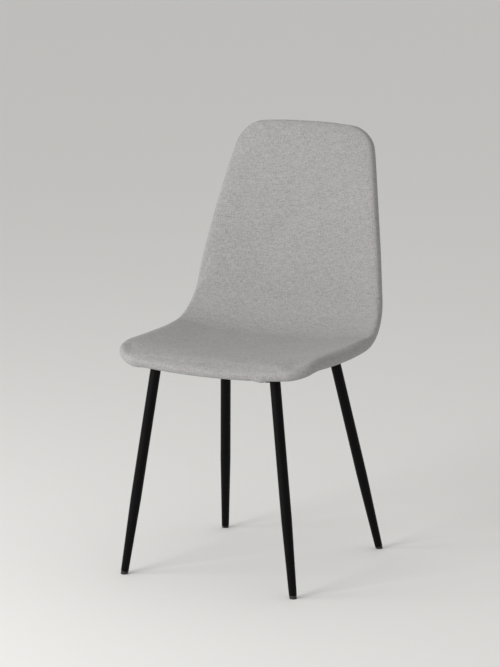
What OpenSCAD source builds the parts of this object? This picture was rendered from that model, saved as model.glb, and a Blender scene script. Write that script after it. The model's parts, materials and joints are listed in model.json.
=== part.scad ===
// Upholstered shell dining chair on four splayed, tapered steel legs.
// Millimetres, +Z up. The origin is on the floor, midway across and midway front to back.
// The chair faces -Y, so the sitter's left hand is on the +X side.

/* [Shell outline] */
// Width across the shell at its front edge
front_w = 418; // [380:1:450]
// Width across the seat, where the shell is widest
seat_w = 444; // [400:1:480]
// Width across the hips, at the start of the bend
hip_w = 440; // [400:1:480]
// Width across the small of the back
waist_w = 408; // [340:1:440]
// Width across the shoulder blades
shoulder_w = 354; // [300:1:400]
// Width across the top edge
top_w = 290; // [240:1:350]
// Corner radius at the front edge
front_corner_r = 42; // [36:1:60]
// Corner radius at the top edge
top_corner_r = 45; // [36:1:70]
// How far the middle of the front edge stands ahead of its corners
front_bow = 12; // [0:1:20]
// How far the middle of the top edge stands above its corners
top_bow = 9; // [0:1:20]

/* [Shell profile] */
// Height of the shell's mid-thickness at the middle of the front edge
front_edge_z = 427; // [380:1:520]
// Slope of the shell at the front edge, rising towards the back
front_slope = 20; // [10:1:30]
// Length of the rolled front, along the profile
front_roll_len = 88; // [70:1:120]
// Angle through which the front roll levels out
front_roll_turn = 26; // [15:1:30]
// Length of the sitting surface, along the profile
seat_len = 185; // [140:1:240]
// Angle through which the sitting surface curves up
seat_turn = 10.6; // [4:0.1:15]
// Radius of the bend between seat and back
bend_r = 119; // [90:1:150]
// Angle of the bend between seat and back
bend_turn = 75; // [65:1:85]
// Length of the back, along the profile
back_len = 344; // [270:1:420]
// Angle through which the back curves away
back_turn = 1.1; // [-8:0.1:8]
// Rise of the side edges above the middle: at the front edge
dish_front = 8; // [0:1:15]
// Rise of the side edges on the seat
dish_seat = 20; // [5:1:30]
// Rise of the side edges at the hips
dish_hip = 22; // [5:1:35]
// Rise of the side edges at the small of the back
dish_waist = 24; // [5:1:35]
// Rise of the side edges at the shoulder blades
dish_shoulder = 16; // [5:1:30]
// Rise of the side edges at the top edge
dish_top = 1; // [0:1:15]

/* [Shell layers] */
// Thickness of the moulded plywood
ply_t = 9; // [7:0.5:12]
// Thickness of the foam on the sitting side
front_foam_t = 10.4; // [8:0.1:20]
// Thickness of the foam on the outside
rear_foam_t = 5; // [3:0.5:10]
// Thickness of the woven cover
cover_t = 1.2; // [0.8:0.1:2]
// Clearance between layers
layer_gap = 0.3; // [0.2:0.05:0.5]
// Distance from the finished edge in to the plywood's edge
ply_inset = 9; // [8:0.5:12]
// Diameter of the piping cord in the seam round the edge
piping_d = 2.4; // [1.6:0.1:3]
// Angle from the middle of the edge round to the seam, on the outer side
seam_turn = 64; // [50:1:72]

/* [Dust cover] */
// Thickness of the non-woven dust cover under the seat
dust_t = 0.6; // [0.5:0.1:1.5]
// Distance along the profile from the front edge to the dust cover
dust_front = 30; // [20:1:60]
// Length of the dust cover, along the profile
dust_len = 268; // [230:1:300]
// Distance from the shell's sides to the dust cover
dust_inset = 36; // [25:1:60]
// Corner radius of the dust cover
dust_corner_r = 34; // [20:1:60]

/* [Under-frame] */
// Width of the flat steel bar
bar_w = 25; // [20:1:32]
// Thickness of the flat steel bar
bar_t = 3.5; // [3:0.5:6]
// Gap between the frame and the lowest part of the dust cover above it
frame_drop = 0.4; // [0.3:0.1:6]
// Distance between the middles of the two side rails
rail_spacing = 244; // [230:1:256]
// Width of the square plates that the legs screw to
plate_w = 28; // [26:1:34]
// Distance from the front legs back to the front cross rail
front_rail_run = 38; // [32:1:50]
// Distance from the rear legs forward to the rear cross rail
rear_rail_run = 24; // [24:1:30]
// Distance along the profile to the front pair of frame bolts
front_bolt_s = 104; // [80:1:130]
// Distance between the front and rear pairs of bolts, along the profile
bolt_run = 150; // [120:1:170]

/* [Legs] */
// Outer diameter of the tube above the taper
leg_d = 21; // [18:0.5:25]
// Outer diameter of the tube at its lower end
leg_end_d = 15.4; // [12:0.1:18]
// Wall thickness of the tube
leg_wall = 1.5; // [1:0.1:2]
// Length of the tube's straight part, from the top down
straight_len = 267; // [150:1:320]
// Distance between the front legs at the frame
front_mount_spacing = 263.5; // [240:0.1:290]
// Distance between the rear legs at the frame
rear_mount_spacing = 245.7; // [220:0.1:280]
// Distance from the shell's front edge back to the front legs at the frame
front_mount_setback = 40.1; // [36:0.1:60]
// Distance from the front legs to the rear legs at the frame
mount_run = 273.8; // [240:0.1:300]
// Distance between the front feet
front_stance = 377; // [330:1:430]
// Distance between the rear feet
rear_stance = 359; // [320:1:420]
// How far the front feet stand ahead of their mounts
front_reach = 32.4; // [0:0.1:60]
// How far the rear feet stand behind their mounts
rear_reach = 102.4; // [40:0.1:130]
// Diameter of the plastic glide below the tube
glide_d = 14.4; // [11:0.1:17]
// Length of the glide that shows below the tube
glide_len = 6; // [4.5:0.5:10]

/* [Fasteners] */
// Diameter of the stud on top of each leg
stud_d = 8; // [6:1:8]
// Diameter of the bolts that hold the frame to the shell
bolt_d = 6; // [5:0.5:6]

/* [Hidden] */

$fn = 48;
LEFT = 1;
RIGHT = -1;
SIDES = [LEFT, RIGHT];
FABRIC = [0.63, 0.62, 0.61];
FOAM = [0.93, 0.88, 0.72];
PLY = [0.80, 0.66, 0.47];
SATIN_BLACK = [0.06, 0.06, 0.065];
ZINC = [0.72, 0.73, 0.75];
touch = 0.1;
// Reach of cutting solids past what they cut
cut = 40;

// ---- Profile: a chain of arcs from the front edge to the top edge -------------------------

ARCS = [[front_roll_len, -front_roll_turn],
        [seat_len, seat_turn],
        [bend_r * bend_turn * PI / 180, bend_turn],
        [back_len, -back_turn]];
profile_len = ARCS[0][0] + ARCS[1][0] + ARCS[2][0] + ARCS[3][0];
bend_start = ARCS[0][0] + ARCS[1][0];
bend_end = bend_start + ARCS[2][0];

// [y, z, slope] a distance dist further along an arc that turns by turn
function along(p, dist, turn) =
    abs(turn) < 0.0001
    ? [p[0] + dist * cos(p[2]), p[1] + dist * sin(p[2]), p[2]]
    : let (r = dist / turn * 180 / PI)
      [p[0] + r * (sin(p[2] + turn) - sin(p[2])), p[1] - r * (cos(p[2] + turn) - cos(p[2])), p[2] + turn];

// [y, z, slope] at distance s along the profile, which starts at p
function profile(s, p, i = 0) =
    i == len(ARCS) - 1 || s <= ARCS[i][0]
    ? along(p, s, ARCS[i][1] * s / ARCS[i][0])
    : profile(s - ARCS[i][0], along(p, ARCS[i][0], ARCS[i][1]), i + 1);

// ---- Surface: the profile with its width and its dish -------------------------------------

HALF_WIDTHS = [front_w, seat_w, hip_w, waist_w, shoulder_w, top_w] / 2;
DISH = [dish_front, dish_seat, dish_hip, dish_waist, dish_shoulder, dish_top];
dish_power = 2.2;

// Value at fraction t of a smooth curve through evenly spaced knots
function knot_curve(k, t) =
    let (n = len(k) - 1, c = min(max(t, 0), 1) * n, i = min(floor(c), n - 1), f = c - i,
         b = k[i], d = k[i + 1],
         a = i > 0 ? k[i - 1] : 2 * b - d,
         e = i < n - 1 ? k[i + 2] : 2 * d - b)
    b + f / 2 * (d - a + f * (2 * a - 5 * b + 4 * d - e + f * (3 * (b - d) + e - a)));

function half_width(s) = knot_curve(HALF_WIDTHS, s / profile_len);

// Point a distance n from the mid-thickness, on the sitter's side where n is positive
function shell_point_from(start, s, x, n) =
    let (p = profile(s, start),
         off = n + knot_curve(DISH, s / profile_len) * pow(abs(x) / half_width(s), dish_power))
    [x, p[0] - off * sin(p[2]), p[1] + off * cos(p[2])];

shell_t = 2 * cover_t + front_foam_t + ply_t + rear_foam_t + 4 * layer_gap;
edge_r = shell_t / 2;

// The shell's front and rear reach about its front edge, which set the front edge's place in Y
LOOSE_START = [0, front_edge_z, front_slope];
function loose_y(s, n) = shell_point_from(LOOSE_START, s, 0, n)[1];
back_samples = [for (k = [0:12]) loose_y(bend_end + (profile_len - edge_r - bend_end) * k / 12, -edge_r)];
front_samples = [for (k = [0:6:90]) loose_y(edge_r * (1 - cos(k)), edge_r * sin(k))];
front_y = -(max(back_samples) + min(front_samples)) / 2;
START = [front_y, front_edge_z, front_slope];

function shell_point(s, x, n) = shell_point_from(START, s, x, n);

// ---- Outlines on the surface, as [s, x] points --------------------------------------------

function steps(a, b, n) = [for (k = [0:n - 1]) a + (b - a) * k / n];

// Right half of an outline, from the middle of its front edge to the middle of its rear edge
function half_outline(s0, s1, inset, r0, r1, side_s) =
    concat(
        [for (u = steps(0, 1, 4)) [s0, u * (half_width(s0) - inset - r0)]],
        [for (a = steps(0, 90, 5)) let (s = s0 + r0 * (1 - cos(a)))
            [s, half_width(s) - inset - r0 * (1 - sin(a))]],
        [for (s = side_s) [s, half_width(s) - inset]],
        [for (a = steps(90, 0, 5)) let (s = s1 - r1 * (1 - cos(a)))
            [s, half_width(s) - inset - r1 * (1 - sin(a))]],
        [for (u = steps(1, 0, 4)) [s1, u * (half_width(s1) - inset - r1)]],
        [[s1, 0]]);

// Bends the front and rear edges of an outline into shallow bows
function bowed(o, s0, s1, r0, r1, bow0, bow1) =
    [for (p = o) let (f0 = max(0, 1 - (p[0] - s0) / (r0 * 1.5)), f1 = max(0, 1 - (s1 - p[0]) / (r1 * 1.5)))
        [p[0] + bow0 * f0 * pow(p[1] / half_width(s0), 2) - bow1 * f1 * pow(p[1] / half_width(s1), 2), p[1]]];

// Closes a half outline with its mirror image
function both_halves(h) = concat(h, [for (i = [len(h) - 2:-1:1]) [h[i][0], -h[i][1]]]);

SHELL_SIDE = concat(steps(front_corner_r, bend_start, 8), steps(bend_start, bend_end, 10),
                    steps(bend_end, profile_len - top_corner_r, 8));
SHELL = both_halves(bowed(
    half_outline(0, profile_len, 0, front_corner_r, top_corner_r, SHELL_SIDE),
    0, profile_len, front_corner_r, top_corner_r, front_bow, top_bow));
SHELL_SPINE = [front_roll_len + 30, profile_len - top_corner_r - 50];

dust_rear = dust_front + dust_len;
DUST = both_halves(half_outline(dust_front, dust_rear, dust_inset, dust_corner_r, dust_corner_r,
                                steps(dust_front + dust_corner_r, dust_rear - dust_corner_r, 12)));
DUST_SPINE = [dust_front + dust_corner_r, dust_rear - dust_corner_r];

// Outline o moved in by d, square to itself
function inset_point(o, i, d) =
    let (n = len(o), t = o[(i + 1) % n] - o[(i + n - 1) % n])
    o[i] + d * [t[1], -t[0]] / norm(t);

// One ring of points: inset by d, then drawn in by the share q towards the spine, at height n
function ring(o, spine, d, q, n) =
    [for (i = [0:len(o) - 1])
        let (p = inset_point(o, i, d), s = min(max(p[0], spine[0]), spine[1]))
        shell_point(p[0] + (s - p[0]) * q, p[1] * (1 - q), n)];

// Closed skin through rings of m points; the first and last rings are closed across the spine
module ring_body(rings) {
    m = len(rings[0]);
    h = m / 2;
    last = (len(rings) - 1) * m;
    walls = [for (r = [0:len(rings) - 2]) for (i = [0:m - 1])
        let (a = r * m + i, b = r * m + (i + 1) % m) each [[a, a + m, b + m], [a, b + m, b]]];
    top = concat([[0, 1, m - 1]],
                 [for (i = [1:h - 2]) each [[i, i + 1, m - i - 1], [i, m - i - 1, m - i]]],
                 [[h - 1, h, h + 1]]);
    bottom = [for (t = top) [t[0] + last, t[2] + last, t[1] + last]];
    polyhedron(points = [for (r = rings) each r], faces = concat(walls, top, bottom), convexity = 8);
}

// ---- Ring lists, each entry is [inset, share towards the spine, height] --------------------

flat_inset = edge_r + 8;
FLAT_SHARES = [0.9, 0.68, 0.44, 0.2, 0];
function flat_in(n) = [for (q = FLAT_SHARES) [flat_inset, q, n]];
function flat_out(n) = [for (k = [len(FLAT_SHARES) - 1:-1:0]) [flat_inset, FLAT_SHARES[k], n]];
// Round of radius r about the middle of the edge, from angle a0 to angle a1
function edge_round(r, a0, a1, n = 4) =
    [for (k = [0:n]) let (a = a0 + (a1 - a0) * k / n) [edge_r - r * cos(a), 0, r * sin(a)]];
function shell_rings(list) = [for (e = list) ring(SHELL, SHELL_SPINE, e[0], e[1], e[2])];

cover_in_r = edge_r - cover_t;
foam_r = cover_in_r - layer_gap;
ply_top = foam_r - front_foam_t - layer_gap;
ply_bottom = ply_top - ply_t;
// The two foams meet round the plywood's edge, this far below its top face
foam_lap = 3.8;
foam_split = ply_top - foam_lap;
foam_split_gap = 0.3;
seam_half_turn = asin((piping_d / 2 + 0.2) / edge_r);

// ---- Upholstered shell ---------------------------------------------------------------------

bolt_clear = 0.25;
BOLT_S = [front_bolt_s, front_bolt_s + bolt_run];
spacer_d = 16;
spacer_clear = 0.5;

// Places children at each frame bolt: upright, on the underside of the plywood
module at_bolts() {
    for (s = BOLT_S, side = SIDES)
        translate(shell_point(s, side * rail_spacing / 2, ply_bottom)) children();
}

// Straight hole through the outer layers at each bolt
module bolt_holes(d) {
    at_bolts() translate([0, 0, -cut]) cylinder(d = d, h = 2 * cut);
}

tee_barrel_d = 8;
tee_flange_d = 18;
tee_flange_t = 1.5;
tee_pocket = tee_flange_t + 1;

module seat_shell() {
    round_in = 1.5;
    color(PLY) difference() {
        ring_body(shell_rings(concat(
            flat_in(ply_top),
            [[ply_inset + round_in, 0, ply_top], [ply_inset, 0, ply_top - round_in],
             [ply_inset, 0, ply_bottom + round_in], [ply_inset + round_in, 0, ply_bottom]],
            flat_out(ply_bottom))));
        bolt_holes(tee_barrel_d + 2 * bolt_clear);
        at_bolts() translate([0, 0, ply_t - tee_pocket]) cylinder(d = tee_flange_d + 1, h = 20);
    }
}

module front_foam() {
    bottom = foam_split + foam_split_gap;
    color(FOAM) ring_body(shell_rings(concat(
        flat_in(foam_r),
        edge_round(foam_r, 90, asin(bottom / foam_r), 5),
        [[ply_inset - layer_gap, 0, bottom], [ply_inset - layer_gap, 0, ply_top + layer_gap]],
        flat_out(ply_top + layer_gap))));
}

// Its rounded edge has a rebate for the piping cord
module rear_foam() {
    top = foam_split;
    rebate_r = edge_r - piping_d - layer_gap;
    rebate_turn = asin((piping_d / 2 + layer_gap) / foam_r);
    color(FOAM) difference() {
        ring_body(shell_rings(concat(
            flat_in(ply_bottom - layer_gap),
            [[ply_inset - layer_gap, 0, ply_bottom - layer_gap], [ply_inset - layer_gap, 0, top]],
            edge_round(foam_r, asin(top / foam_r), rebate_turn - seam_turn, 4),
            edge_round(rebate_r, rebate_turn - seam_turn, -rebate_turn - seam_turn, 1),
            edge_round(foam_r, -rebate_turn - seam_turn, -90, 1),
            flat_out(-foam_r))));
        bolt_holes(spacer_d + 2 * spacer_clear);
    }
}

// Wraps round the edge, down to the seam on its outer side
module front_cover() {
    bottom = seam_half_turn - seam_turn;
    color(FABRIC) ring_body(shell_rings(concat(
        flat_in(edge_r),
        edge_round(edge_r, 90, bottom, 8),
        edge_round(cover_in_r, bottom, 90, 7),
        flat_out(cover_in_r))));
}

module rear_cover() {
    top = -seam_half_turn - seam_turn;
    color(FABRIC) difference() {
        ring_body(shell_rings(concat(
            flat_in(-cover_in_r),
            edge_round(cover_in_r, -90, top, 2),
            edge_round(edge_r, top, -90, 2),
            flat_out(-edge_r))));
        bolt_holes(spacer_d + 2 * spacer_clear);
    }
}

// Cord of small round section, run all the way round the shell's edge
module seam_piping() {
    sides = 8;
    r = piping_d / 2;
    m = len(SHELL);
    in = edge_r - (edge_r - r) * cos(seam_turn);
    down = (edge_r - r) * sin(seam_turn);
    rings = [for (k = [0:sides - 1]) let (a = k * 360 / sides)
        ring(SHELL, SHELL_SPINE, in - r * cos(a), 0, r * sin(a) - down)];
    faces = [for (k = [0:sides - 1]) for (i = [0:m - 1])
        let (j = (i + 1) % m, a = k * m, b = ((k + 1) % sides) * m)
        each [[a + i, b + j, b + i], [a + i, a + j, b + j]]];
    color(FABRIC) polyhedron(points = [for (q = rings) each q], faces = faces, convexity = 6);
}

// ---- Dust cover ------------------------------------------------------------------------------

dust_top = -edge_r - layer_gap;

module dust_cover() {
    rings = [for (e = concat([for (q = FLAT_SHARES) [q, dust_top]],
                             [for (k = [len(FLAT_SHARES) - 1:-1:0]) [FLAT_SHARES[k], dust_top - dust_t]]))
        ring(DUST, DUST_SPINE, 0, e[0], e[1])];
    color("black") difference() {
        ring_body(rings);
        bolt_holes(spacer_d + 2 * spacer_clear);
    }
}

module dust_cover_staples() {
    crown = [10, 1.2, 0.7];
    edge_inset = 6;
    m = len(DUST);
    color(ZINC) for (i = [1:2:m - 1]) {
        p = inset_point(DUST, i, edge_inset);
        here = shell_point(p[0], p[1], dust_top - dust_t - crown[2] / 2 - touch);
        ahead = inset_point(DUST, (i + 1) % m, edge_inset);
        next = shell_point(ahead[0], ahead[1], dust_top - dust_t - crown[2] / 2 - touch);
        run = next - here;
        translate(here) rotate([0, -asin(run[2] / norm(run)), atan2(run[1], run[0])])
            cube(crown, center = true);
    }
}

// ---- Under-frame -------------------------------------------------------------------------------

front_mount_y = front_y + front_mount_setback;
rear_mount_y = front_mount_y + mount_run;
front_rail_y = front_mount_y + front_rail_run;
rear_rail_y = rear_mount_y - rear_rail_run;
rail_in = (rail_spacing - bar_w) / 2;
rail_lap = 5;
nut_h = 3.2;
nut_across = 1.625 * stud_d;

// Lowest heights of the dust cover's underside above the side rails, the cross rails and the front
// leg nuts. Over the seat the profile's length runs a little ahead of Y.
function dust_low(s, x) = shell_point(s, x, dust_top - dust_t)[2];
side_start = 60;
front_run_on = 2;
rear_run_on = -1;
side_low = min([for (k = [0:16]) dust_low(side_start + (bend_start - side_start) * k / 16, rail_in)]);
cross_low = min(concat(
    [for (e = [-1:0.5:1]) dust_low(front_rail_y - front_y + front_run_on + e * bar_w / 2, 0)],
    [for (e = [-1:0.5:1]) dust_low(rear_rail_y - front_y + rear_run_on + e * bar_w / 2, 0)]));
nut_low = dust_low(front_mount_setback - 0.46 * nut_across, (front_mount_spacing - 0.62 * nut_across) / 2);
// A leg nut's top stands this far above the frame's top
nut_rise = nut_h + 0.2;
frame_top = min(side_low, cross_low, nut_low - nut_rise) - frame_drop;
frame_bottom = frame_top - bar_t;
// Legs end on this plane, measured at the middle of each leg; the tilted plates clear the rails'
// lower face by this much
plate_drop = 0.6;
mount_z = frame_bottom - plate_drop;

// [mount point, foot point] of a leg
function leg_line(front, side) = front
    ? [[side * front_mount_spacing / 2, front_mount_y, mount_z],
       [side * front_stance / 2, front_mount_y - front_reach, 0]]
    : [[side * rear_mount_spacing / 2, rear_mount_y, mount_z],
       [side * rear_stance / 2, rear_mount_y + rear_reach, 0]];
function leg_len(front, side) = let (l = leg_line(front, side)) norm(l[0] - l[1]);

// Places children with their +Z along a leg, from its foot point upwards
module along_leg(front, side) {
    l = leg_line(front, side);
    v = l[0] - l[1];
    translate(l[1]) rotate([0, acos(v[2] / norm(v)), atan2(v[1], v[0])]) children();
}

module plate_blank(front, side) {
    l = leg_line(front, side);
    v = l[0] - l[1];
    turn = atan2(v[1], v[0]);
    along_leg(front, side) translate([0, 0, leg_len(front, side) + bar_t / 2]) rotate(-turn)
        cube([plate_w, plate_w, bar_t], center = true);
}

module mount_plate(front, side) {
    color(SATIN_BLACK) difference() {
        plate_blank(front, side);
        along_leg(front, side) translate([0, 0, leg_len(front, side) - 1])
            cylinder(d = stud_d + 0.6, h = bar_t + 2);
    }
}
module front_left_mount_plate() mount_plate(true, LEFT);
module front_right_mount_plate() mount_plate(true, RIGHT);
module rear_left_mount_plate() mount_plate(false, LEFT);
module rear_right_mount_plate() mount_plate(false, RIGHT);

// Cross rail between the inner sides of the two side rails
module cross_rail(y) {
    color(SATIN_BLACK) translate([-rail_in + touch, y - bar_w / 2, frame_bottom])
        cube([2 * (rail_in - touch), bar_w, bar_t]);
}
module front_rail() cross_rail(front_rail_y);
module rear_rail() cross_rail(rear_rail_y);

// Side rail, lapped into the plates of the legs in front of it and behind it, and cut to meet them
module side_rail(side) {
    y0 = front_mount_y + plate_w / 2 - rail_lap;
    y1 = rear_mount_y - plate_w / 2 + rail_lap;
    color(SATIN_BLACK) difference() {
        translate([side * rail_spacing / 2 - bar_w / 2, y0, frame_bottom]) cube([bar_w, y1 - y0, bar_t]);
        plate_blank(true, side);
        plate_blank(false, side);
        for (s = BOLT_S)
            translate(bolt_point(s, side, frame_bottom - 1))
                cylinder(d = bolt_d + 2 * bolt_clear, h = bar_t + 2);
    }
}
module left_rail() side_rail(LEFT);
module right_rail() side_rail(RIGHT);

module mount_nuts() {
    color(ZINC) for (front = [true, false], side = SIDES)
        along_leg(front, side) translate([0, 0, leg_len(front, side) + bar_t]) difference() {
            cylinder(d = nut_across / cos(30), h = nut_h, $fn = 6);
            translate([0, 0, -1]) cylinder(d = stud_d + 0.2, h = nut_h + 2);
        }
}

// ---- Legs ----------------------------------------------------------------------------------------

plug_len = 20;

module leg(front, side) {
    len = leg_len(front, side);
    taper_top = len - straight_len;
    r0 = leg_end_d / 2;
    r1 = leg_d / 2;
    color(SATIN_BLACK) along_leg(front, side) rotate_extrude()
        polygon([[r0 - leg_wall, glide_len], [r0, glide_len], [r1, taper_top], [r1, len],
                 [r1 - leg_wall, len], [r1 - leg_wall, taper_top]]);
}
module front_left_leg() leg(true, LEFT);
module front_right_leg() leg(true, RIGHT);
module rear_left_leg() leg(false, LEFT);
module rear_right_leg() leg(false, RIGHT);

// Turned plug in the top of each leg, with the stud that passes through the plate and its nut
module leg_plugs() {
    color(ZINC) for (front = [true, false], side = SIDES)
        along_leg(front, side) translate([0, 0, leg_len(front, side)]) {
            translate([0, 0, -plug_len]) cylinder(d = leg_d - 2 * leg_wall - 0.1, h = plug_len);
            cylinder(d = stud_d, h = bar_t + nut_h);
        }
}

// Plastic glide pushed into the lower end of a leg, with its sole flat on the floor
module glide(front, side) {
    spigot_r = leg_end_d / 2 - leg_wall - 0.05;
    spigot_len = 14;
    below = 10;
    foot = leg_line(front, side)[1];
    color(SATIN_BLACK) difference() {
        along_leg(front, side) rotate(60) rotate_extrude()
            polygon([[0, -below], [glide_d / 2, -below], [glide_d / 2, glide_len], [spigot_r, glide_len],
                     [spigot_r, glide_len + spigot_len], [0, glide_len + spigot_len]]);
        translate([foot[0] - cut, foot[1] - cut, -cut]) cube([2 * cut, 2 * cut, cut]);
    }
}
module front_left_glide() glide(true, LEFT);
module front_right_glide() glide(true, RIGHT);
module rear_left_glide() glide(false, LEFT);
module rear_right_glide() glide(false, RIGHT);

// ---- Frame fasteners ------------------------------------------------------------------------------

washer_t = 1.6;
bolt_head_d = 2 * bolt_d - 1;
bolt_head_h = 0.6 * bolt_d;
tee_len = ply_t - 1;

function bolt_point(s, side, z) =
    let (p = shell_point(s, side * rail_spacing / 2, ply_bottom)) [p[0], p[1], z];
// The plywood slopes across a spacer's flat top, which stays this far below the bolt's own line
spacer_drop = 1.2;
function spacer_top(s) = shell_point(s, rail_spacing / 2, ply_bottom)[2] - spacer_drop;

module frame_spacers() {
    color(SATIN_BLACK) for (s = BOLT_S, side = SIDES)
        translate(bolt_point(s, side, frame_top)) difference() {
            cylinder(d = spacer_d, h = spacer_top(s) - frame_top);
            translate([0, 0, -1]) cylinder(d = bolt_d + 2 * bolt_clear, h = 60);
        }
}

module frame_washers() {
    color(ZINC) for (s = BOLT_S, side = SIDES)
        translate(bolt_point(s, side, frame_bottom - washer_t)) difference() {
            cylinder(d = 2 * bolt_d + 1, h = washer_t);
            translate([0, 0, -1]) cylinder(d = bolt_d + 2 * bolt_clear, h = washer_t + 2);
        }
}

// Button-head bolts, driven up from below with a hexagon key
module frame_bolts() {
    key = 0.62 * bolt_d;
    color(ZINC) for (s = BOLT_S, side = SIDES) {
        under_head = frame_bottom - washer_t;
        tip = shell_point(s, rail_spacing / 2, ply_bottom)[2] + ply_t - tee_pocket;
        translate(bolt_point(s, side, under_head)) {
            difference() {
                translate([0, 0, -bolt_head_h])
                    cylinder(d1 = 0.75 * bolt_head_d, d2 = bolt_head_d, h = bolt_head_h);
                translate([0, 0, -bolt_head_h - 1])
                    cylinder(d = key / cos(30), h = 0.6 * bolt_head_h + 1, $fn = 6);
            }
            cylinder(d = bolt_d, h = tip - under_head);
        }
    }
}

// Flanged nuts let into the plywood from the sitting side
module tee_nuts() {
    color(ZINC) at_bolts() translate([0, 0, ply_t - tee_pocket]) difference() {
        union() {
            cylinder(d = tee_flange_d, h = tee_flange_t);
            translate([0, 0, -tee_len + tee_pocket]) cylinder(d = tee_barrel_d, h = tee_len - tee_pocket + 1);
        }
        translate([0, 0, -20]) cylinder(d = bolt_d + 0.2, h = 40);
    }
}

seat_shell();
front_foam();
rear_foam();
front_cover();
rear_cover();
seam_piping();
dust_cover();
dust_cover_staples();
front_rail();
rear_rail();
left_rail();
right_rail();
front_left_mount_plate();
front_right_mount_plate();
rear_left_mount_plate();
rear_right_mount_plate();
mount_nuts();
leg_plugs();
front_left_leg();
front_right_leg();
rear_left_leg();
rear_right_leg();
front_left_glide();
front_right_glide();
rear_left_glide();
rear_right_glide();
frame_spacers();
frame_bolts();
frame_washers();
tee_nuts();
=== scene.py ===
"""Looks of an upholstered shell dining chair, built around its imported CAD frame.

Every piece is in metres in the frame's own axes: +Z up, the sitter faces -Y and +X is on the
sitter's left hand.
"""

from __future__ import annotations

import json
import logging
import math
from dataclasses import dataclass, field
from enum import Enum

import bmesh
import bpy
import numpy as np
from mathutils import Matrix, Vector
from mathutils.kdtree import KDTree

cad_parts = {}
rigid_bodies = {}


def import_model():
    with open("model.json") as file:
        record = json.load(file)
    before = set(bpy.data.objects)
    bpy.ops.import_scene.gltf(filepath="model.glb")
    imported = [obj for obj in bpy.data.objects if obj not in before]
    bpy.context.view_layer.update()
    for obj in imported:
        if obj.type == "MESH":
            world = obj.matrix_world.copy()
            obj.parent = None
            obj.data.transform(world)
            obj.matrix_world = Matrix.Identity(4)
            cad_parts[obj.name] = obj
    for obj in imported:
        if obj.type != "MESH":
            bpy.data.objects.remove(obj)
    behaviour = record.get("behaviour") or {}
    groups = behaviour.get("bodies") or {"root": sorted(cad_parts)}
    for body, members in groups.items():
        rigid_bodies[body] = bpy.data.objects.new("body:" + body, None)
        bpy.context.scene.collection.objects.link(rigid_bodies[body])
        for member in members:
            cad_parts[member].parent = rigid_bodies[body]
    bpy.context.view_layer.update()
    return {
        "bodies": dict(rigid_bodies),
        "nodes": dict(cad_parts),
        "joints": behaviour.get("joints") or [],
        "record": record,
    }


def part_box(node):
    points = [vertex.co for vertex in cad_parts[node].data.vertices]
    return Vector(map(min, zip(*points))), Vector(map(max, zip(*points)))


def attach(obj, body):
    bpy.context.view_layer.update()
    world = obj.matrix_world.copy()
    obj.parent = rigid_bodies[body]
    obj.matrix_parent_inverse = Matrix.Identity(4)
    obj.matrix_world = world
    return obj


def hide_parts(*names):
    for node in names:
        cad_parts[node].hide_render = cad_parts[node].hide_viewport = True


log = logging.getLogger("dining_chair")

MM = 0.001


class Layer(Enum):
    """The two padded skins of the shell; the value is the side of the plywood they lie on."""

    FRONT = 1
    REAR = -1


class Corner(Enum):
    """The chair's four corners, left and right as the sitter sees them."""

    FRONT_LEFT = "front_left"
    FRONT_RIGHT = "front_right"
    REAR_LEFT = "rear_left"
    REAR_RIGHT = "rear_right"


class Coordinates(Enum):
    """What a pattern follows: the cloth's own unrolled map, or the object's axes."""

    UNROLLED = "UV"
    OBJECT = "Object"


# ---- Node and mesh helpers ------------------------------------------------------------------


def linear(srgb: str) -> tuple[float, float, float, float]:
    """Turn an sRGB hex colour into a linear RGBA colour.

    Args:
        srgb: The colour as "#RRGGBB".

    Returns:
        Linear red, green and blue with full alpha.
    """
    channels = [int(srgb[i : i + 2], 16) / 255 for i in (1, 3, 5)]
    rgb = [c / 12.92 if c <= 0.04045 else ((c + 0.055) / 1.055) ** 2.4 for c in channels]
    return (*rgb, 1.0)


class Graph:
    """A node tree in the making."""

    def __init__(self, tree: bpy.types.NodeTree) -> None:
        """Take up a material's or a Geometry Nodes tree."""
        self.tree = tree

    def fill(self, node: bpy.types.Node, inputs: dict) -> None:
        """Link a node's inputs, or set them to constants.

        Args:
            node: The node.
            inputs: Input name or index to a constant or to another node's output socket.
        """
        for key, value in inputs.items():
            if isinstance(value, bpy.types.NodeSocket):
                self.tree.links.new(value, node.inputs[key])
            else:
                node.inputs[key].default_value = value

    def add(self, kind: str, inputs: dict, output: str | int = 0, **settings) -> bpy.types.NodeSocket:
        """Add a node with its settings and links, and give the output that is asked for.

        Args:
            kind: The node's type name.
            inputs: Input name or index to a constant or to another node's output socket.
            output: The output's name or index.
            settings: Properties of the node itself.

        Returns:
            The node's output.
        """
        made = self.tree.nodes.new(kind)
        for name, value in settings.items():
            setattr(made, name, value)
        self.fill(made, inputs)
        return made.outputs[output]


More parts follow.
